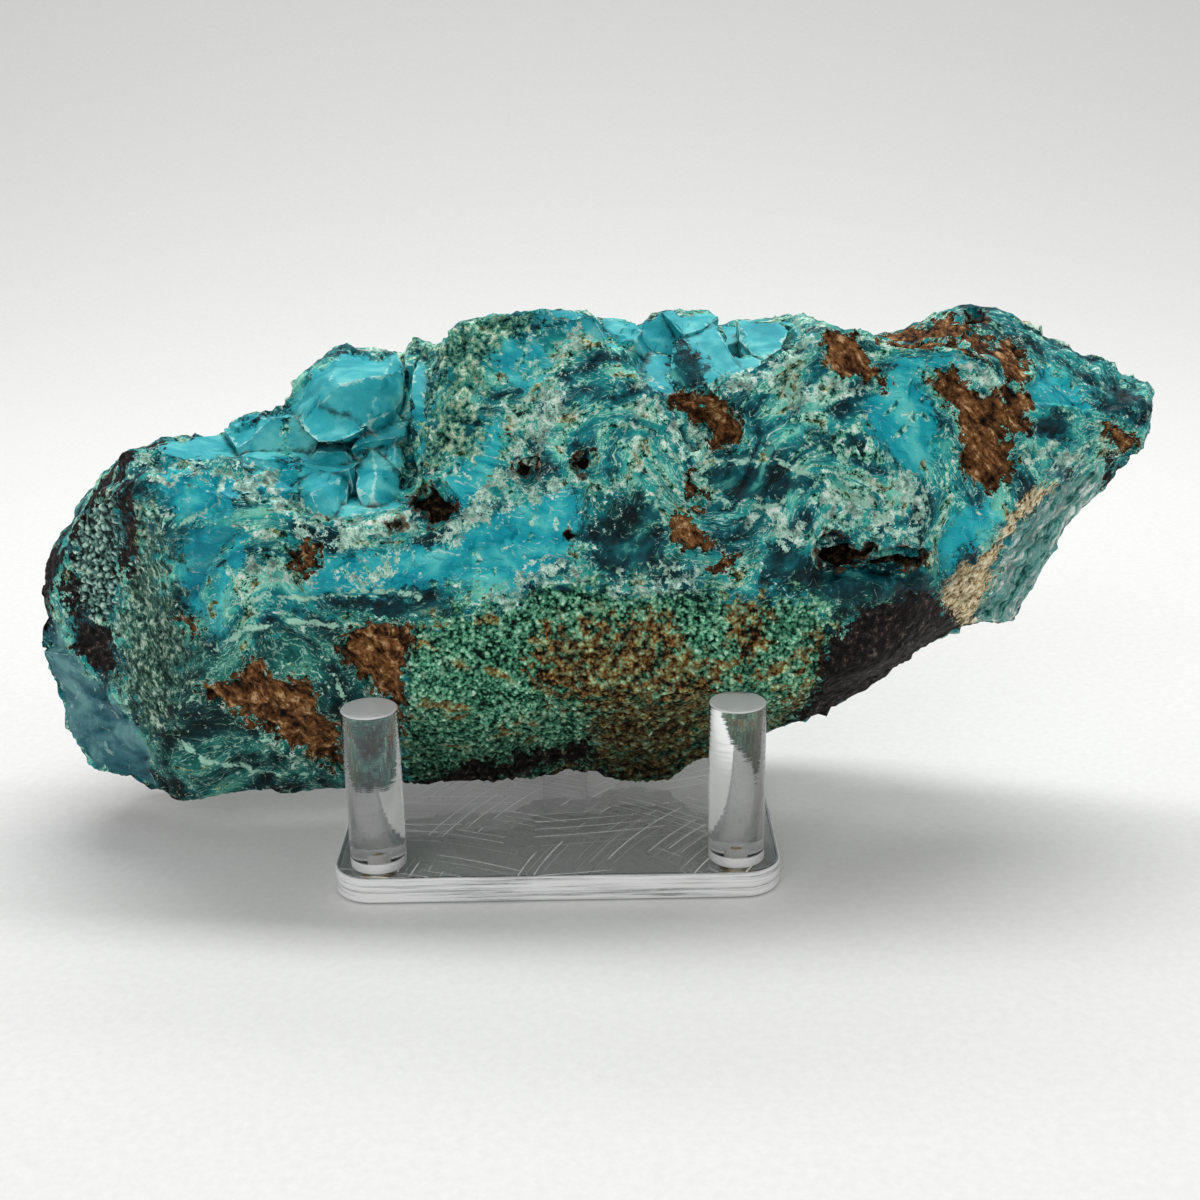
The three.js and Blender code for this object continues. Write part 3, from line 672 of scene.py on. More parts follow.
stone_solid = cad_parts["chrysocolla"].data
points = np.empty(3 * len(stone_solid.vertices))
stone_solid.vertices.foreach_get("co", points)
points = points.reshape(-1, 3) / MM
stone_solid.calc_loop_triangles()
triangles = np.empty(3 * len(stone_solid.loop_triangles), np.int32)
stone_solid.loop_triangles.foreach_get("vertices", triangles)
_, kept, welded = np.unique(np.round(points, 3), axis=0, return_index=True, return_inverse=True)
points = points[kept]
triangles = welded.reshape(-1)[triangles].reshape(-1, 3).astype(np.int64)
triangles = triangles[(triangles != np.roll(triangles, 1, 1)).all(1)]


def face_normals(points, triangles):
    a, b, c = (points[triangles[:, k]] for k in range(3))
    return np.cross(b - a, c - a)


def unit(vectors):
    return vectors / np.maximum(np.linalg.norm(vectors, axis=1, keepdims=True), 1e-9)


def normals_of(points, triangles):
    flat = face_normals(points, triangles)
    return unit(np.stack([np.bincount(triangles.ravel(), np.repeat(flat[:, k], 3), len(points))
                          for k in range(3)], 1))


def smooth_step(value, low, high):
    part = np.clip((value - low) / (high - low), 0, 1)
    return part * part * (3 - 2 * part)


def facing_eye(points, normals):
    return (normals * unit(EYE - points)).sum(1)


def wanted_edge(points, facing):
    in_sight = smooth_step(facing, -0.2, 0.1)
    place = picture(points)
    knobbly = smooth_step(drawn(place, KNOBS + BEADS), -1.5, 0.5) * in_sight
    blocky = smooth_step(drawn(place, BROKEN), 0.0, 1.5) * in_sight
    return (FAR_EDGE + (SEEN_EDGE - FAR_EDGE) * in_sight + (KNOB_EDGE - SEEN_EDGE) * knobbly
            + (BLOCK_EDGE - SEEN_EDGE) * blocky)


def edges_of(points, triangles):
    starts, ends = triangles, np.roll(triangles, -1, 1)
    keys, edges = np.unique(np.minimum(starts, ends) * len(points) + np.maximum(starts, ends),
                            return_inverse=True)
    return keys // len(points), keys % len(points), edges.reshape(-1, 3)


def finer(points, triangles, facing):
    """Halves the edges that are longer than the detail wants, the longest of each face first."""
    while True:
        low, high, edges = edges_of(points, triangles)
        centre = (points[low] + points[high]) / 2
        length = np.linalg.norm(points[low] - points[high], axis=1)
        centre_facing = (facing[low] + facing[high]) / 2
        split = length > SPLIT_OVER * wanted_edge(centre, centre_facing)
        if not split.any():
            return points, triangles, facing
        longest = length[edges].argmax(1)
        rows = np.arange(len(edges))
        while True:
            more = split[edges].any(1) & ~split[edges[rows, longest]]
            if not more.any():
                break
            split[edges[rows[more], longest[more]]] = True
        fresh = np.full(len(low), -1)
        fresh[split] = len(points) + np.arange(split.sum())
        points = np.vstack([points, centre[split]])
        facing = np.concatenate([facing, centre_facing[split]])
        turn = (longest[:, None] + np.arange(3)) % 3
        corner = np.take_along_axis(triangles, turn, 1)
        mark = fresh[np.take_along_axis(edges, turn, 1)]
        cut = mark[:, 0] >= 0
        whole = corner[~cut]
        a, b, c = corner[cut].T
        ab, bc, ca = mark[cut].T
        left, right = ca >= 0, bc >= 0
        triangles = np.vstack([
            whole,
            np.stack([a, ab, c], 1)[~left],
            np.stack([a, ab, ca], 1)[left], np.stack([ab, c, ca], 1)[left],
            np.stack([ab, b, c], 1)[~right],
            np.stack([ab, b, bc], 1)[right], np.stack([ab, bc, c], 1)[right],
        ])


facing = facing_eye(points, normals_of(points, triangles))
points, triangles, facing = finer(points, triangles, facing)
seen = picture(points)
in_view = smooth_step(facing, -0.05, 0.2)


def clouds(size, shift=0.0, octaves=1, spots=None):
    """Soft lumps of a given size in the stone, from about -1 to 1."""
    spots = ((points if spots is None else spots) / size + shift).tolist()
    if octaves == 1:
        return np.array([noise.noise(spot) for spot in spots])
    return np.array([noise.fractal(spot, 1.0, 2.0, octaves) for spot in spots])


def zone(wild, *drawings, bands=()):
    """A kind of surface: as drawn where the front is seen, and wild patches round the back."""
    return in_view * drawn(seen, drawings, bands) + (1 - in_view) * wild


height = points[:, 2]
nowhere = np.full(len(points), OUTSIDE)
broken_depth = zone(nowhere, *BROKEN)
zones = {
    "clean": np.maximum(broken_depth, zone(14 * (clouds(34, 3.1) - 0.22), *CLEAN)),
    "deep": zone(14 * (clouds(26, 14.2) - 0.3), *DEEP),
    "pale": zone(9 * (0.12 - np.abs(clouds(30, 21.5))) - 0.6, bands=PALE),
    "thread": zone(nowhere, bands=[(path, THREAD_WIDTH) for path in THREADS]),
    "lace": zone(14 * (clouds(25, 25.0) - 0.05), *LACE),
    "moss": zone(12 * (clouds(24, 31.8) - 0.3), *MOSS),
    "brown": zone(14 * (clouds(21, 8.7) - 0.38), *BROWN),
    "black": zone(12 * (clouds(40, 40.4) - 0.25 - (height - 40) / 90), *BLACK, bands=BLACK_LINES),
    "tan": zone(12 * (clouds(28, 52.6) - 0.5), *TAN),
    "streaked": zone(nowhere, *STREAKED),
    "fibrous": zone(12 * (clouds(36, 61.0) - 0.35), *FIBROUS),
    "slate": zone(nowhere, *SLATE),
    "broken": broken_depth,
    "shaded": zone(12 * (clouds(50, 91.0) - 0.2 - (height - 60) / 90), *SHADED),
    "knobs": zone(12 * (clouds(45, 70.3) - 0.1 - (height - 42) / 60), *KNOBS),
    "beads": zone(nowhere, *BEADS),
    "rust": zone(9 * (clouds(22, 83.9) - 0.1), *RUST),
    "hole": zone(nowhere, *HOLES),
}


def share(name, soft=0.7):
    return smooth_step(zones[name], -soft, soft)


# Arrises and crevices of the blocks, where the faces meet at an outward or an inward angle
low, high, edges = edges_of(points, triangles)
flat = unit(face_normals(points, triangles))
hearts = points[triangles].mean(1)
order = np.argsort(edges.ravel(), kind="stable")
one, other = order[0::2] // 3, order[1::2] // 3
bend = np.degrees(np.arccos(np.clip((flat[one] * flat[other]).sum(1), -1, 1)))
outward = ((hearts[other] - hearts[one]) * flat[one]).sum(1) < 0


def folds(which):
    sharp = np.where(which, np.clip((bend - 12) / 25, 0, 1), 0)
    strength = np.zeros(len(points))
    np.maximum.at(strength, low, sharp)
    np.maximum.at(strength, high, sharp)
    return strength


arris, crevice = folds(outward), folds(~outward)
ends = np.stack([np.concatenate([low, high]), np.concatenate([high, low])], 1)
neighbours = np.bincount(ends[:, 0], minlength=len(points))


def around(values):
    return np.bincount(ends[:, 0], values[ends[:, 1]], len(points)) / neighbours


crisp = np.maximum(smooth_step(broken_depth, -0.9, 0.3), share("slate"))
zones["arris"] = arris * crisp
zones["crevice"] = np.maximum(crevice, 1.5 * around(crevice)) * crisp
easing = (0.55 * (1 - crisp) * (0.35 + 0.65 * in_view))[:, None]
for _ in range(SMOOTHING):
    points = points + easing * (np.stack([around(points[:, k]) for k in range(3)], 1) - points)
normals = normals_of(points, triangles)

# The way the marbling runs: drawn out along the length, turned about the hollows, and wandering
way = seen.copy()
for (u, v), reach, turn in SWIRLS:
    off = way - (u, v)
    angle = turn * np.exp(-(off ** 2).sum(1) / reach ** 2)
    way = np.stack([u + off[:, 0] * np.cos(angle) - off[:, 1] * np.sin(angle),
                    v + off[:, 0] * np.sin(angle) + off[:, 1] * np.cos(angle)], 1)
flow = np.stack([way[:, 0] / SCALE * FLOW_DRAW, points[:, 1], -way[:, 1] / SCALE], 1)
noise.seed_set(MARBLE_SEED)
wander = np.array([noise.noise_vector(spot) for spot in (flow / 9).tolist()])
curl = np.array([noise.noise_vector(spot) for spot in (flow / 3.2 + 7.7).tolist()])
flow = flow + 3.4 * wander + 1.0 * curl

# The way the fibres run in each kind of surface: as picture directions, drawn out along them
comb = np.zeros((len(points), 3))
for name, turn, drawn_out, fine in FIBRES:
    along = np.array([math.cos(math.radians(turn)), math.sin(math.radians(turn))])
    run = seen @ along / SCALE
    cross = seen @ np.array([-along[1], along[0]]) / SCALE
    combing = np.stack([run / drawn_out, points[:, 1] / (2 * fine), cross / fine], 1)
    chosen = zones[name] > -1.5 if name else slice(None)
    comb[chosen] = (combing + 0.55 * curl)[chosen]


# Broken faces: tilted planes cut at random into the surface, the lowest of each few showing
def facets(where, count, tilt, step, seed):
    rng = np.random.default_rng(seed)
    spots = np.where(where > 0.02)[0]
    chips = rng.choice(spots, count, replace=False)
    tree = kdtree.KDTree(count)
    for i, chip in enumerate(chips):
        tree.insert(points[chip], i)
    tree.balance()
    slope = rng.normal(0, tilt, (count, 3))
    level = rng.uniform(-step, step, count)
    cut, gap = np.zeros(len(points)), np.full(len(points), 1.0)
    for v in spots:
        levels = sorted(level[i] + slope[i] @ (points[v] - points[chips[i]])
                        for _, i, _ in tree.find_n(points[v], 6))
        cut[v] = max(levels[0], -2.0)
        gap[v] = levels[1] - levels[0]
    return cut, gap


broken = smooth_step(broken_depth, -0.9, 0.3)
shards = smooth_step(zone(nowhere, *SHARDS), -0.9, 0.6) * (1 - broken)
clean = share("clean") * (1 - shards)
polished = np.maximum(clean, crisp) * (1 - broken)
broken_cut, _ = facets(broken, 110, 0.06, 0.2, 7)
shard_cut, shard_gap = facets(shards, 150, 0.42, 1.0, 8)
polished_cut, polished_gap = facets(polished, 190, 0.10, 0.3, 9)
zones["seam"] = np.where(shards > 0.3, shard_gap, np.where(broken > 0.3, 1.0, polished_gap))
zones["clean"] = np.maximum(zones["clean"], zone(nowhere, *SHARDS) - 0.4)


# Knobs and beads: rounded crumbs packed side by side, of uneven size
def crumbs(which, size, shift, waver):
    rise = np.zeros(len(points))
    for v in which:
        spot = points[v] / size + shift
        spot = Vector(spot) + waver * noise.noise_vector((spot * 1.7).tolist())
        near, _ = noise.voronoi(spot)
        rise[v] = min(1.0, 1.9 * (near[1] - near[0])) * (1 - 0.5 * near[0])
    return rise


knobbly = share("knobs", 1.2)
beaded = share("beads", 1.0)
scaly = knobbly * smooth_step(zones["rust"], -1, 1)
knob_rise = crumbs(np.where(knobbly > 0)[0], 1.6, 5.3, 0.45)
scale_rise = crumbs(np.where(scaly > 0)[0], 3.3, 3.7, 0.35)
knob_rise = knob_rise + scaly * (0.45 * knob_rise + 0.75 * scale_rise - 0.2 - knob_rise)
bead_rise = crumbs(np.where(beaded > 0)[0], 1.7, 9.1, 0.35)

mid = clouds(8.0, 4.4, 3)
small = clouds(2.8, 12.8, 2)
tiny = clouds(1.2, 18.3)
ledges = clouds(6.0, 27.1, 3, flow)
woody = clouds(1.6, 15.0, 3, comb)
brown = share("brown", 0.6)
black = share("black", 0.8)
pale = share("pale", 0.6) * (1 - brown)
moss = share("moss", 0.8)
cut_away = np.maximum.reduce([clean, crisp, shards])
crusty = (1 - cut_away) * (1 - knobbly) * (1 - beaded) * (1 - brown) * (1 - black)
rough_relief = 0.55 * small + 0.35 * tiny - 0.7 * np.abs(ledges)
rise = broken * broken_cut + shards * (shard_cut + 0.6) + polished * polished_cut
rise = rise + 0.04 * cut_away * small
rise -= 0.5 * crisp * arris * np.maximum(small, 0)
rise += crusty * (0.8 * mid + 0.9 * rough_relief + 0.25)
rise += pale * (0.5 + 0.6 * small + 0.3 * tiny)
rise += moss * (1.1 * np.maximum(small, -0.5) + 0.6 * tiny)
rise += brown * (-1.0 + 0.7 * woody + 0.3 * tiny + 0.6 * small)
rise += black * (0.4 * small + 0.3 * tiny + 0.4 * mid)
rise += knobbly * (0.9 * knob_rise - 0.4 + 0.8 * mid + 0.4 * small)
rise += beaded * (1.0 * bead_rise - 0.5 + 0.7 * small)
rise -= share("hole", 0.6) * 3.2
points = points + normals * rise[:, None]
zones["rise"] = np.select(
    [beaded > 0.4, knobbly > 0.4, brown > 0.4],
    [2 * bead_rise - 1, 2 * knob_rise - 1, 1.4 * woody + 0.6 * small], rough_relief * 1.2)

# The stone keeps clear of the pegs and of the plate it lies on
reach = PEG_RADIUS + STAND_CLEAR
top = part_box("front_left_peg")[1].z / MM + STAND_CLEAR
for x, y, _ in peg_places:
    off = points[:, :2] - (x, y)
    far = np.hypot(*off.T)
    inside = (far < reach) & (points[:, 2] < top)
    points[inside, :2] += off[inside] / far[inside, None] * (reach - far[inside])[:, None]
over_plate = (np.abs(points[:, :2]) < PLATE_SIDE / 2 + 1).all(1)
points[over_plate, 2] = np.maximum(points[over_plate, 2], PLATE_THICK + STAND_CLEAR)

stone_data = bpy.data.meshes.new("chrysocolla lump")
stone_data.from_pydata((points * MM).tolist(), [], triangles.tolist())
for name, depth in zones.items():
    layer = stone_data.attributes.new(name, "FLOAT", "POINT")
    layer.data.foreach_set("value", np.clip(depth, -DEEPEST, DEEPEST).astype(np.float32))
for name, ways in (("flow", flow), ("comb", comb)):
    layer = stone_data.attributes.new(name, "FLOAT_VECTOR", "POINT")
    layer.data.foreach_set("vector", ways.ravel().astype(np.float32))
stone_data.polygons.foreach_set("use_smooth", np.ones(len(stone_data.polygons), bool))
stone_data.set_sharp_from_angle(angle=math.radians(STONE_SHARP))

stone_finish = Finish("raw chrysocolla")
add, times, less, most = stone_finish.add, stone_finish.times, stone_finish.less, stone_finish.most
fit, blend, between = stone_finish.fit, stone_finish.blend, stone_finish.between
shades, cloud = stone_finish.shades, stone_finish.cloud
spot = stone_finish.place()
flowing = stone_finish.node("Attribute", attribute_name="flow").outputs["Vector"]
combed = stone_finish.node("Attribute", attribute_name="comb").outputs["Vector"]
CONTRAST = 0.19
LIFT = 0.99
THREAD_STEP = 0.06
CRUMB_SIZE = 0.85
GRAIN_DEPTH = 0.45
WAXY_SHINE = 0.12
# Painted shade: heights in millimetres over which the knobbly crust darkens towards the foot
FOOT_SHADE = (54.0, 22.0)


def strong(soft_cloud):
    return fit(soft_cloud, 0.5 - CONTRAST, 0.5 + CONTRAST)


fray = strong(cloud(spot, 2.6, 3, 0.72))
crumb = strong(cloud(spot, 1.5, 4, 0.68))
grain = cloud(spot, 0.38, 0)
marble = strong(cloud(flowing, 6.5, 3, 0.52))
pool = cloud(flowing, 7.0, 3, 0.5)
curls = cloud(flowing, 3.6, 3, 0.52)
comb = strong(cloud(combed, 1.0, 3, 0.72))
rough_crumb = less(crumb, 0.5)


def marked(name):
    return stone_finish.node("Attribute", attribute_name=name).outputs["Fac"]


def edge_of(name, ragged=1.0, soft=0.25, shift=0.0):
    """Where a kind of surface shows: its drawn depth, frayed along the edge."""
    depth = add(marked(name), fit(fray, 0.28, 0.72, -ragged, ragged))
    return fit(depth, shift - soft, shift + soft)


def over(below, where, colour, rough, relief):
    """One kind of surface laid over those before it: colour, roughness and how coarse it feels."""
    return (blend(where, below[0], colour), between(where, below[1], rough),
            between(where, below[2], relief))


def off_middle(value, middle_value):
    return stone_finish.size_of(less(value, middle_value))


# Painted shade and highlight: the height of the small relief shifts the colours below, darker in its
# lows and paler on its highs
relief_shade = marked("rise")
laced = edge_of("lace", 3.0, 1.5)

# Marbled teal, the ground of the stone, glassy and in pools from dark to light
depth = add(add(marble, times(rough_crumb, 0.22)), times(relief_shade, 0.08))
depth = add(depth, times(laced, 0.10))
ground = shades(depth, (
    (0.08, (2, 40, 46)), (0.28, (6, 84, 94)), (0.48, (16, 130, 136)),
    (0.68, (40, 162, 156)), (0.92, (118, 206, 184))))
dim = shades(depth, (
    (0.08, (2, 26, 26)), (0.30, (6, 52, 54)), (0.52, (18, 88, 84)),
    (0.72, (34, 116, 108)), (0.95, (70, 142, 124))))
shaded = edge_of("shaded", 4.0, 2.5)
ground = blend(shaded, ground, dim)
ground = blend(fit(crumb, 0.17, 0.07, 0.0, 0.8), ground, paint(4, 26, 30))
ground = blend(fit(crumb, 0.84, 0.93, 0.0, 0.75), ground, paint(214, 236, 220))
layers = (ground, 0.46, 0.5)

# Crust along the veins, white and mint with green and dark pits, wider where it makes a lace
crust = shades(add(crumb, times(relief_shade, 0.12)), (
    (0.16, (4, 34, 30)), (0.28, (30, 112, 96)), (0.42, (100, 192, 164)),
    (0.58, (178, 228, 206)), (0.80, (242, 250, 240))))
olive = shades(crumb, (
    (0.18, (16, 26, 14)), (0.40, (84, 98, 58)), (0.60, (150, 158, 106)), (0.82, (226, 222, 186))))
ragged = add(fit(fray, 0.1, 0.9, -0.022, 0.022), times(rough_crumb, 0.022))
from_vein = off_middle(pool, 0.5)
vein_width = add(fit(marble, 0.30, 0.85, -0.006, 0.042), times(laced, 0.034))
vein_width = add(vein_width, times(shaded, -0.024))
vein = fit(less(add(from_vein, ragged), vein_width), 0.005, -0.004)
layers = over(layers, vein, blend(fit(marble, 0.74, 0.86), crust, olive), 0.62, 1.0)
hair = fit(add(off_middle(from_vein, 0.085), times(ragged, 0.35)), 0.0065, 0.003)
hair = times(hair, fit(fray, 0.35, 0.6, 0.0, 0.8))
threads = add(curls, times(rough_crumb, 0.012))
threads = stone_finish.reckon("PINGPONG", threads, THREAD_STEP)
threads = fit(threads, 0.013, 0.006)
threads = times(threads, times(fit(fray, 0.22, 0.45, 0.0, 0.95), fit(marble, 0.25, 0.60)))
threads = times(threads, fit(shaded, 0.0, 1.0, 1.0, 0.55))
layers = over(layers, most(hair, threads), paint(184, 230, 208), 0.55, 0.5)

# Clean turquoise, waxy, cracked along its facets, paler along its sharp edges (partly bruising, partly
# a painted highlight) and with painted shade in its creases
tones = add(marble, times(less(fray, 0.5), 0.25))
turquoise = shades(tones, (
    (0.10, (8, 132, 150)), (0.36, (20, 160, 176)), (0.60, (44, 180, 188)),
    (0.90, (92, 206, 204))))
turquoise = blend(fit(comb, 0.86, 0.96, 0.0, 0.6), turquoise, paint(214, 240, 232))
turquoise = blend(fit(comb, 0.26, 0.08, 0.0, 0.45), turquoise, paint(4, 96, 116))
turquoise = blend(times(hair, 0.7), turquoise, paint(190, 226, 208))
plain = shades(tones, ((0.10, (30, 152, 164)), (0.50, (56, 174, 184)), (0.90, (100, 200, 200))))
turquoise = blend(edge_of("broken", 0.8, 0.3), turquoise, plain)
turquoise = blend(times(shaded, 0.6), turquoise, paint(8, 98, 116))
seam = fit(add(marked("seam"), fit(fray, 0.2, 0.8, -0.10, 0.10)), 0.07, 0.01)
turquoise = blend(times(seam, 0.8), turquoise, crust)
# Paler along the sharp outward edges: partly bruising and partly a painted highlight
bruised_and_highlit = fit(add(marked("arris"), fit(fray, 0.2, 0.8, -0.6, 0.15)), 0.30, 0.65, 0.0, 0.85)
turquoise = blend(bruised_and_highlit, turquoise, paint(170, 222, 214))
# Painted shade: the inward folds between the block faces are darkened to a near-black teal
crevice_shade = fit(add(marked("crevice"), fit(fray, 0.2, 0.8, -0.35, 0.10)), 0.45, 1.0, 0.0, 0.85)
turquoise = blend(crevice_shade, turquoise, paint(4, 34, 38))
layers = over(layers, edge_of("clean", 1.4, 0.3), turquoise, 0.42, 0.10)

# Deep teal, glassy and dark
deep = shades(depth, (
    (0.15, (1, 20, 25)), (0.50, (5, 60, 68)), (0.75, (16, 96, 102)), (0.98, (76, 160, 150))))
deep = blend(times(hair, 0.8), deep, crust)
layers = over(layers, edge_of("deep", 1.5, 0.5), deep, 0.34, 0.25)

# Moss green crust
moss = shades(add(crumb, times(relief_shade, 0.15)), (
    (0.14, (6, 18, 16)), (0.30, (36, 104, 92)), (0.46, (88, 172, 150)),
    (0.62, (160, 196, 146)), (0.80, (234, 244, 224))))
layers = over(layers, times(edge_of("moss", 4.0, 1.4), 0.85), moss, 0.62, 1.0)

# Grey-green fibrous left end, combed down along the break
fibre = shades(add(times(comb, 0.46), times(crumb, 0.60)), (
    (0.28, (6, 18, 17)), (0.44, (34, 74, 64)), (0.60, (84, 132, 112)), (0.80, (206, 226, 206))))
layers = over(layers, times(edge_of("fibrous", 4.0, 1.5), 0.9), fibre, 0.55, 0.9)

# Slate blue conchoidal break at the lower left
slate = shades(tones, (
    (0.15, (30, 80, 92)), (0.50, (56, 110, 120)), (0.85, (96, 148, 150))))
slate = blend(fit(comb, 0.76, 0.92, 0.0, 0.5), slate, paint(170, 204, 200))
# Its sharp edges are paler too, partly bruising and partly a painted highlight
slate = blend(bruised_and_highlit, slate, paint(150, 192, 188))
layers = over(layers, edge_of("slate", 1.4, 0.4), slate, 0.34, 0.08)

# Streaked right end, drawn out towards the tip
streak = shades(add(comb, times(rough_crumb, 0.12)), (
    (0.10, (10, 56, 54)), (0.28, (50, 132, 120)), (0.46, (106, 170, 160)),
    (0.64, (156, 180, 176)), (0.86, (228, 240, 232))))
layers = over(layers, edge_of("streaked", 1.4, 0.35), streak, 0.5, 0.8)

# Crust of green crumbs, with painted shade between them and towards the foot, rusty towards the right
crumb_cell = stone_finish.node("TexVoronoi", {"Vector": spot, "Scale": 1 / CRUMB_SIZE})
gap = crumb_cell.outputs["Distance"]
mixed_up = stone_finish.node("SeparateXYZ", {0: crumb_cell.outputs["Color"]}).outputs["X"]
# Painted shade: the crumbs are lighter at their middles and darker in the gaps between them
tips = add(times(relief_shade, 0.15), fit(gap, 0.1, 0.8, 0.74, 0.34))
tips = add(add(tips, times(rough_crumb, 0.55)), times(less(mixed_up, 0.5), 0.25))
tips = add(tips, times(less(marble, 0.5), 0.20))
green_knobs = shades(tips, (
    (0.16, (8, 18, 14)), (0.30, (44, 106, 82)), (0.46, (92, 178, 140)),
    (0.66, (158, 218, 180)), (0.90, (238, 248, 232))))
rusty_knobs = shades(tips, (
    (0.14, (12, 9, 5)), (0.28, (96, 62, 28)), (0.44, (164, 118, 62)),
    (0.58, (150, 160, 104)), (0.84, (190, 224, 176))))
rust = times(edge_of("rust", 4.0, 2.0), fit(fray, 0.2, 0.6, 0.15, 1.0))
rust = most(rust, fit(marble, 0.68, 0.80))
knobs = blend(rust, green_knobs, rusty_knobs)
# Painted shade: the crumbs darken towards the foot of the stone, where the floor's shade lies
foot_shade = fit(add(stone_finish.up(spot), times(fray, 14.0)), *FOOT_SHADE, 0.0, 0.6)
knobs = blend(foot_shade, knobs, paint(10, 18, 14))
layers = over(layers, edge_of("knobs", 3.0, 0.8), knobs, 0.66, 1.0)

# Grey-green beads at the left end
# Painted shade and highlight: the beads are darker in the lows between them and paler on their tops
beads = shades(add(fit(relief_shade, -1.0, 1.0), times(rough_crumb, 0.6)), (
    (0.06, (18, 30, 28)), (0.26, (92, 134, 126)), (0.52, (146, 190, 176)),
    (0.88, (214, 236, 222))))
layers = over(layers, edge_of("beads", 2.2, 0.6), beads, 0.5, 0.8)

# Pale crust
chalk = blend(0.35, crust, paint(220, 242, 230))
layers = over(layers, edge_of("pale", 2.6, 0.5), chalk, 0.7, 1.0)
layers = over(layers, edge_of("thread", 0.45, 0.2), paint(168, 216, 194), 0.6, 0.6)

# Tan granular band
tan = shades(add(crumb, times(less(comb, 0.5), 0.4)), (
    (0.14, (60, 46, 28)), (0.34, (176, 150, 106)), (0.54, (228, 208, 162)), (0.76, (250, 242, 214))))
layers = over(layers, edge_of("tan", 0.9, 0.25), tan, 0.75, 1.0)

# Black matrix
black_rock = shades(add(crumb, times(less(comb, 0.5), 0.4)), (
    (0.20, (5, 4, 4)), (0.50, (30, 25, 24)), (0.80, (56, 48, 44)), (1.0, (120, 108, 98))))
layers = over(layers, edge_of("black", 1.4, 0.3), black_rock, 0.6, 1.0)

# Brown limonite, woody and cracked and sunk a little, with a thin pale rim and a painted dark shade
# line round its edge
wood = add(add(times(comb, 0.7), times(relief_shade, 0.10)), add(times(rough_crumb, 0.5), 0.15))
limonite = shades(wood, (
    (0.14, (10, 6, 4)), (0.32, (66, 40, 22)), (0.52, (110, 72, 40)),
    (0.70, (142, 98, 58)), (0.92, (206, 172, 128))))
layers = over(layers, times(edge_of("brown", 1.3, 0.2, -0.75), 0.9), crust, 0.7, 0.9)
# Painted shade: a dark line where the sunken limonite meets the stone round it
layers = over(layers, edge_of("brown", 1.3, 0.25, -0.35), paint(14, 9, 6), 0.8, 1.0)
layers = over(layers, edge_of("brown", 1.3, 0.25, 0.2), limonite, 0.8, 1.0)

# Hollows, with a brown rim, dark inside: partly their own dark lining and partly painted shade
layers = over(layers, times(edge_of("hole", 1.0, 0.3, -0.7), 0.85), limonite, 0.8, 1.0)
# Painted shade, in part: the inside of the hollows runs from dark brown to near black
inside = shades(crumb, ((0.35, (6, 5, 4)), (0.65, (40, 30, 18)), (0.95, (100, 80, 48))))
layers = over(layers, edge_of("hole", 0.8, 0.5), inside, 0.85, 0.8)

colour, rough, coarse = layers
speckle = between(coarse, 1.0, fit(grain, 0.25, 0.75, 0.82, 1.18))
# Painted shade and highlight: coarse surfaces are darkened in the lows of their relief and lightened on
# its highs
pit_shade = between(coarse, 1.0, fit(relief_shade, -1.0, 0.1, 0.45, 1.12))
colour = stone_finish.node("Mix", {0: 1.0, 6: colour, 7: times(times(speckle, pit_shade), LIFT)},
                           data_type="RGBA", blend_type="MULTIPLY").outputs[2]
bumpy = add(crumb, times(grain, 0.5))
stone_finish.set(Base_Color=colour, Roughness=rough, IOR=1.5, Specular_IOR_Level=WAXY_SHINE,
                 Normal=stone_finish.bump(bumpy, GRAIN_DEPTH, coarse))

stone_data.materials.append(stone_finish.material)
stone = bpy.data.objects.new("chrysocolla_lump", stone_data)
bpy.context.scene.collection.objects.link(stone)
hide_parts("chrysocolla")
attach(stone, "root")

# Backdrop. A roll of matt white paper, faintly flecked, laid flat under the stand.
# It is swept up in one bend behind the stone, so that no edge shows.
SWEEP_WIDTH = 6.0
SWEEP_FRONT = -2.0
SWEEP_BACK = 0.45
SWEEP_BEND = 1.6
SWEEP_TOP = 3.0
SWEEP_DROP = -0.0002
SWEEP_STEPS = 24

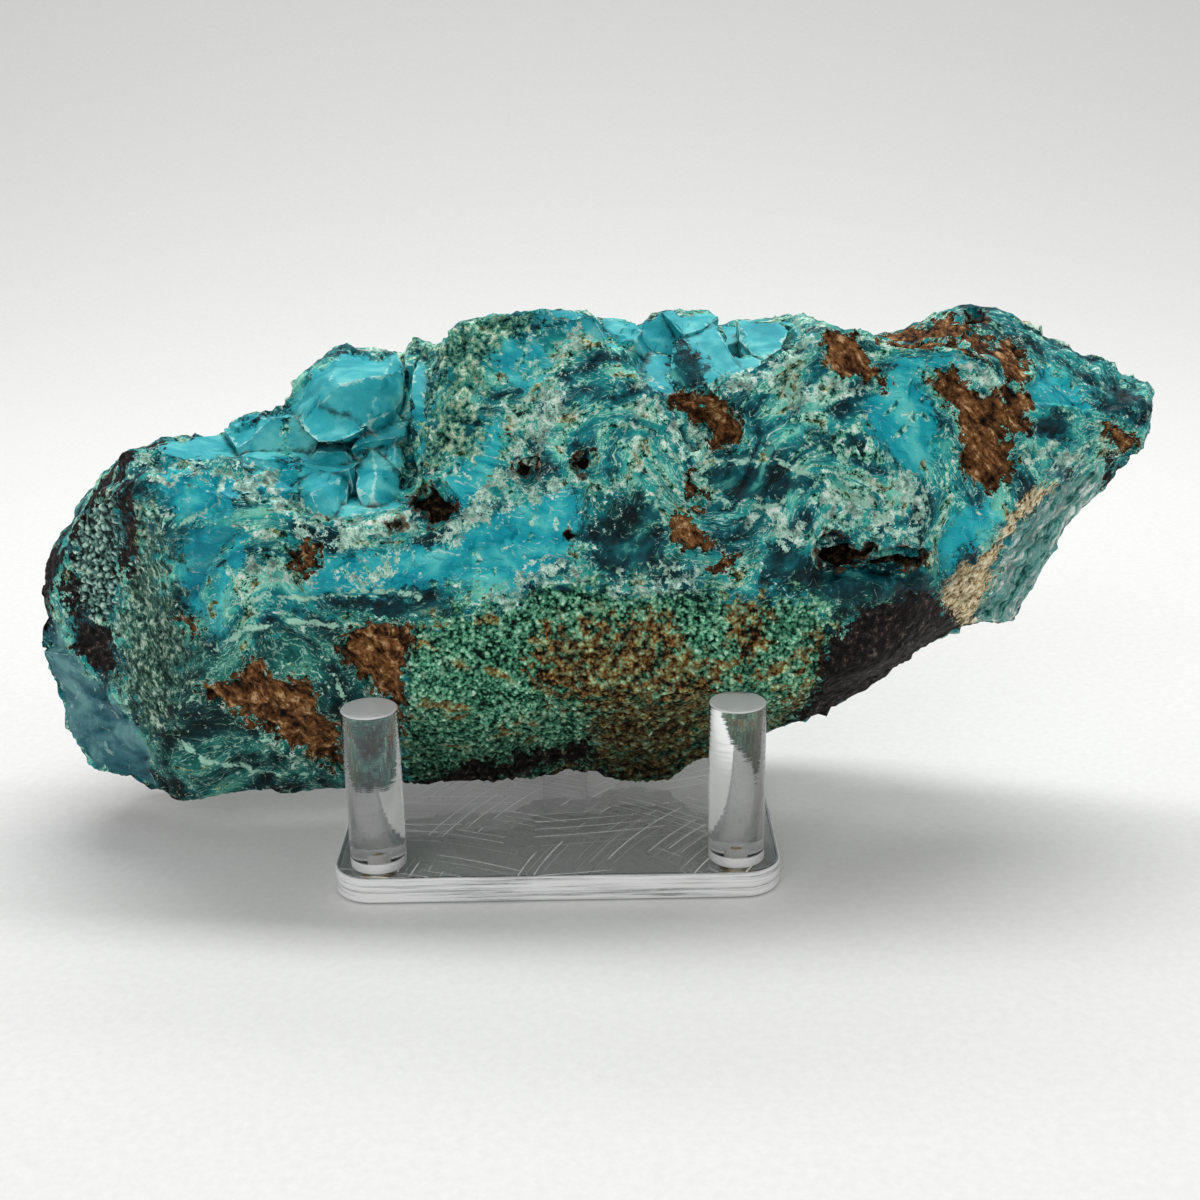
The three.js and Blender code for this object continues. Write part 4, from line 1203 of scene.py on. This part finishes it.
sweep = [(SWEEP_FRONT, SWEEP_DROP)]
for step in range(SWEEP_STEPS + 1):
    turn = math.pi / 2 * step / SWEEP_STEPS
    sweep.append((SWEEP_BACK + SWEEP_BEND * math.sin(turn),
                  SWEEP_DROP + SWEEP_BEND * (1 - math.cos(turn))))
sweep.append((SWEEP_BACK + SWEEP_BEND, SWEEP_TOP))
paper_data = bpy.data.meshes.new("paper sweep")
paper_points = [(side * SWEEP_WIDTH / 2, y, z) for y, z in sweep for side in (-1, 1)]
paper_faces = [(2 * i, 2 * i + 1, 2 * i + 3, 2 * i + 2) for i in range(len(sweep) - 1)]
paper_data.from_pydata(paper_points, [], paper_faces)
paper_data.polygons.foreach_set("use_smooth", np.ones(len(paper_data.polygons), bool))
paper_finish = Finish("white paper")
fleck = paper_finish.cloud(paper_finish.place(), 2.0, 2, 0.7)
paper_white = paper_finish.shades(fleck, ((0.3, (232, 232, 231)), (0.7, (238, 238, 237))))
paper_finish.set(Base_Color=paper_white, Roughness=0.9, Specular_IOR_Level=0.1)
paper_data.materials.append(paper_finish.material)
paper = bpy.data.objects.new("paper_sweep", paper_data)
bpy.context.scene.collection.objects.link(paper)

# Light. Three soft boxes: a long one overhead, a longer one high up behind, and a broad one in front.
# The white room round them fills the shadows.
ROOM_LIGHT = 0.40


def soft_box(name, at, aim, size, power):
    lamp = bpy.data.lights.new(name, "AREA")
    lamp.shape = "RECTANGLE"
    lamp.size, lamp.size_y = size
    lamp.energy = power
    box = bpy.data.objects.new(name, lamp)
    box.location = at
    box.rotation_euler = (Vector(aim) - Vector(at)).to_track_quat("-Z", "Y").to_euler()
    bpy.context.scene.collection.objects.link(box)


soft_box("overhead", (0.04, 0.28, 0.95), (0.0, 0.0, 0.03), (1.0, 0.16), 6.2)
soft_box("behind", (0.08, 1.24, 1.60), (0.0, 0.0, 0.03), (2.0, 0.24), 7.5)
soft_box("front", (-0.30, -1.3, 0.95), (0.0, 0.0, 0.06), (1.4, 0.7), 6.6)
room = bpy.data.worlds.new("room")
room.use_nodes = True
room.node_tree.nodes["Background"].inputs["Color"].default_value = (1, 1, 1, 1)
room.node_tree.nodes["Background"].inputs["Strength"].default_value = ROOM_LIGHT
bpy.context.scene.world = room
bpy.context.scene.view_settings.view_transform = "Standard"

# Camera. It stands a little above the stone and looks down on it slightly, as in the photograph.
# The view is the one in which the stone's marks are laid out.
SENSOR = 36.0

lens = bpy.data.cameras.new("camera")
lens.sensor_width = SENSOR
lens.lens = FOCAL / PICTURE * lens.sensor_width
lens.clip_start = 0.01
camera = bpy.data.objects.new("camera", lens)
rows = [(*row, at * MM) for row, at in zip(zip(across, above, -ahead), EYE)]
camera.matrix_world = Matrix(rows + [(0, 0, 0, 1)])
bpy.context.scene.collection.objects.link(camera)
bpy.context.scene.camera = camera

bpy.context.view_layer.update()
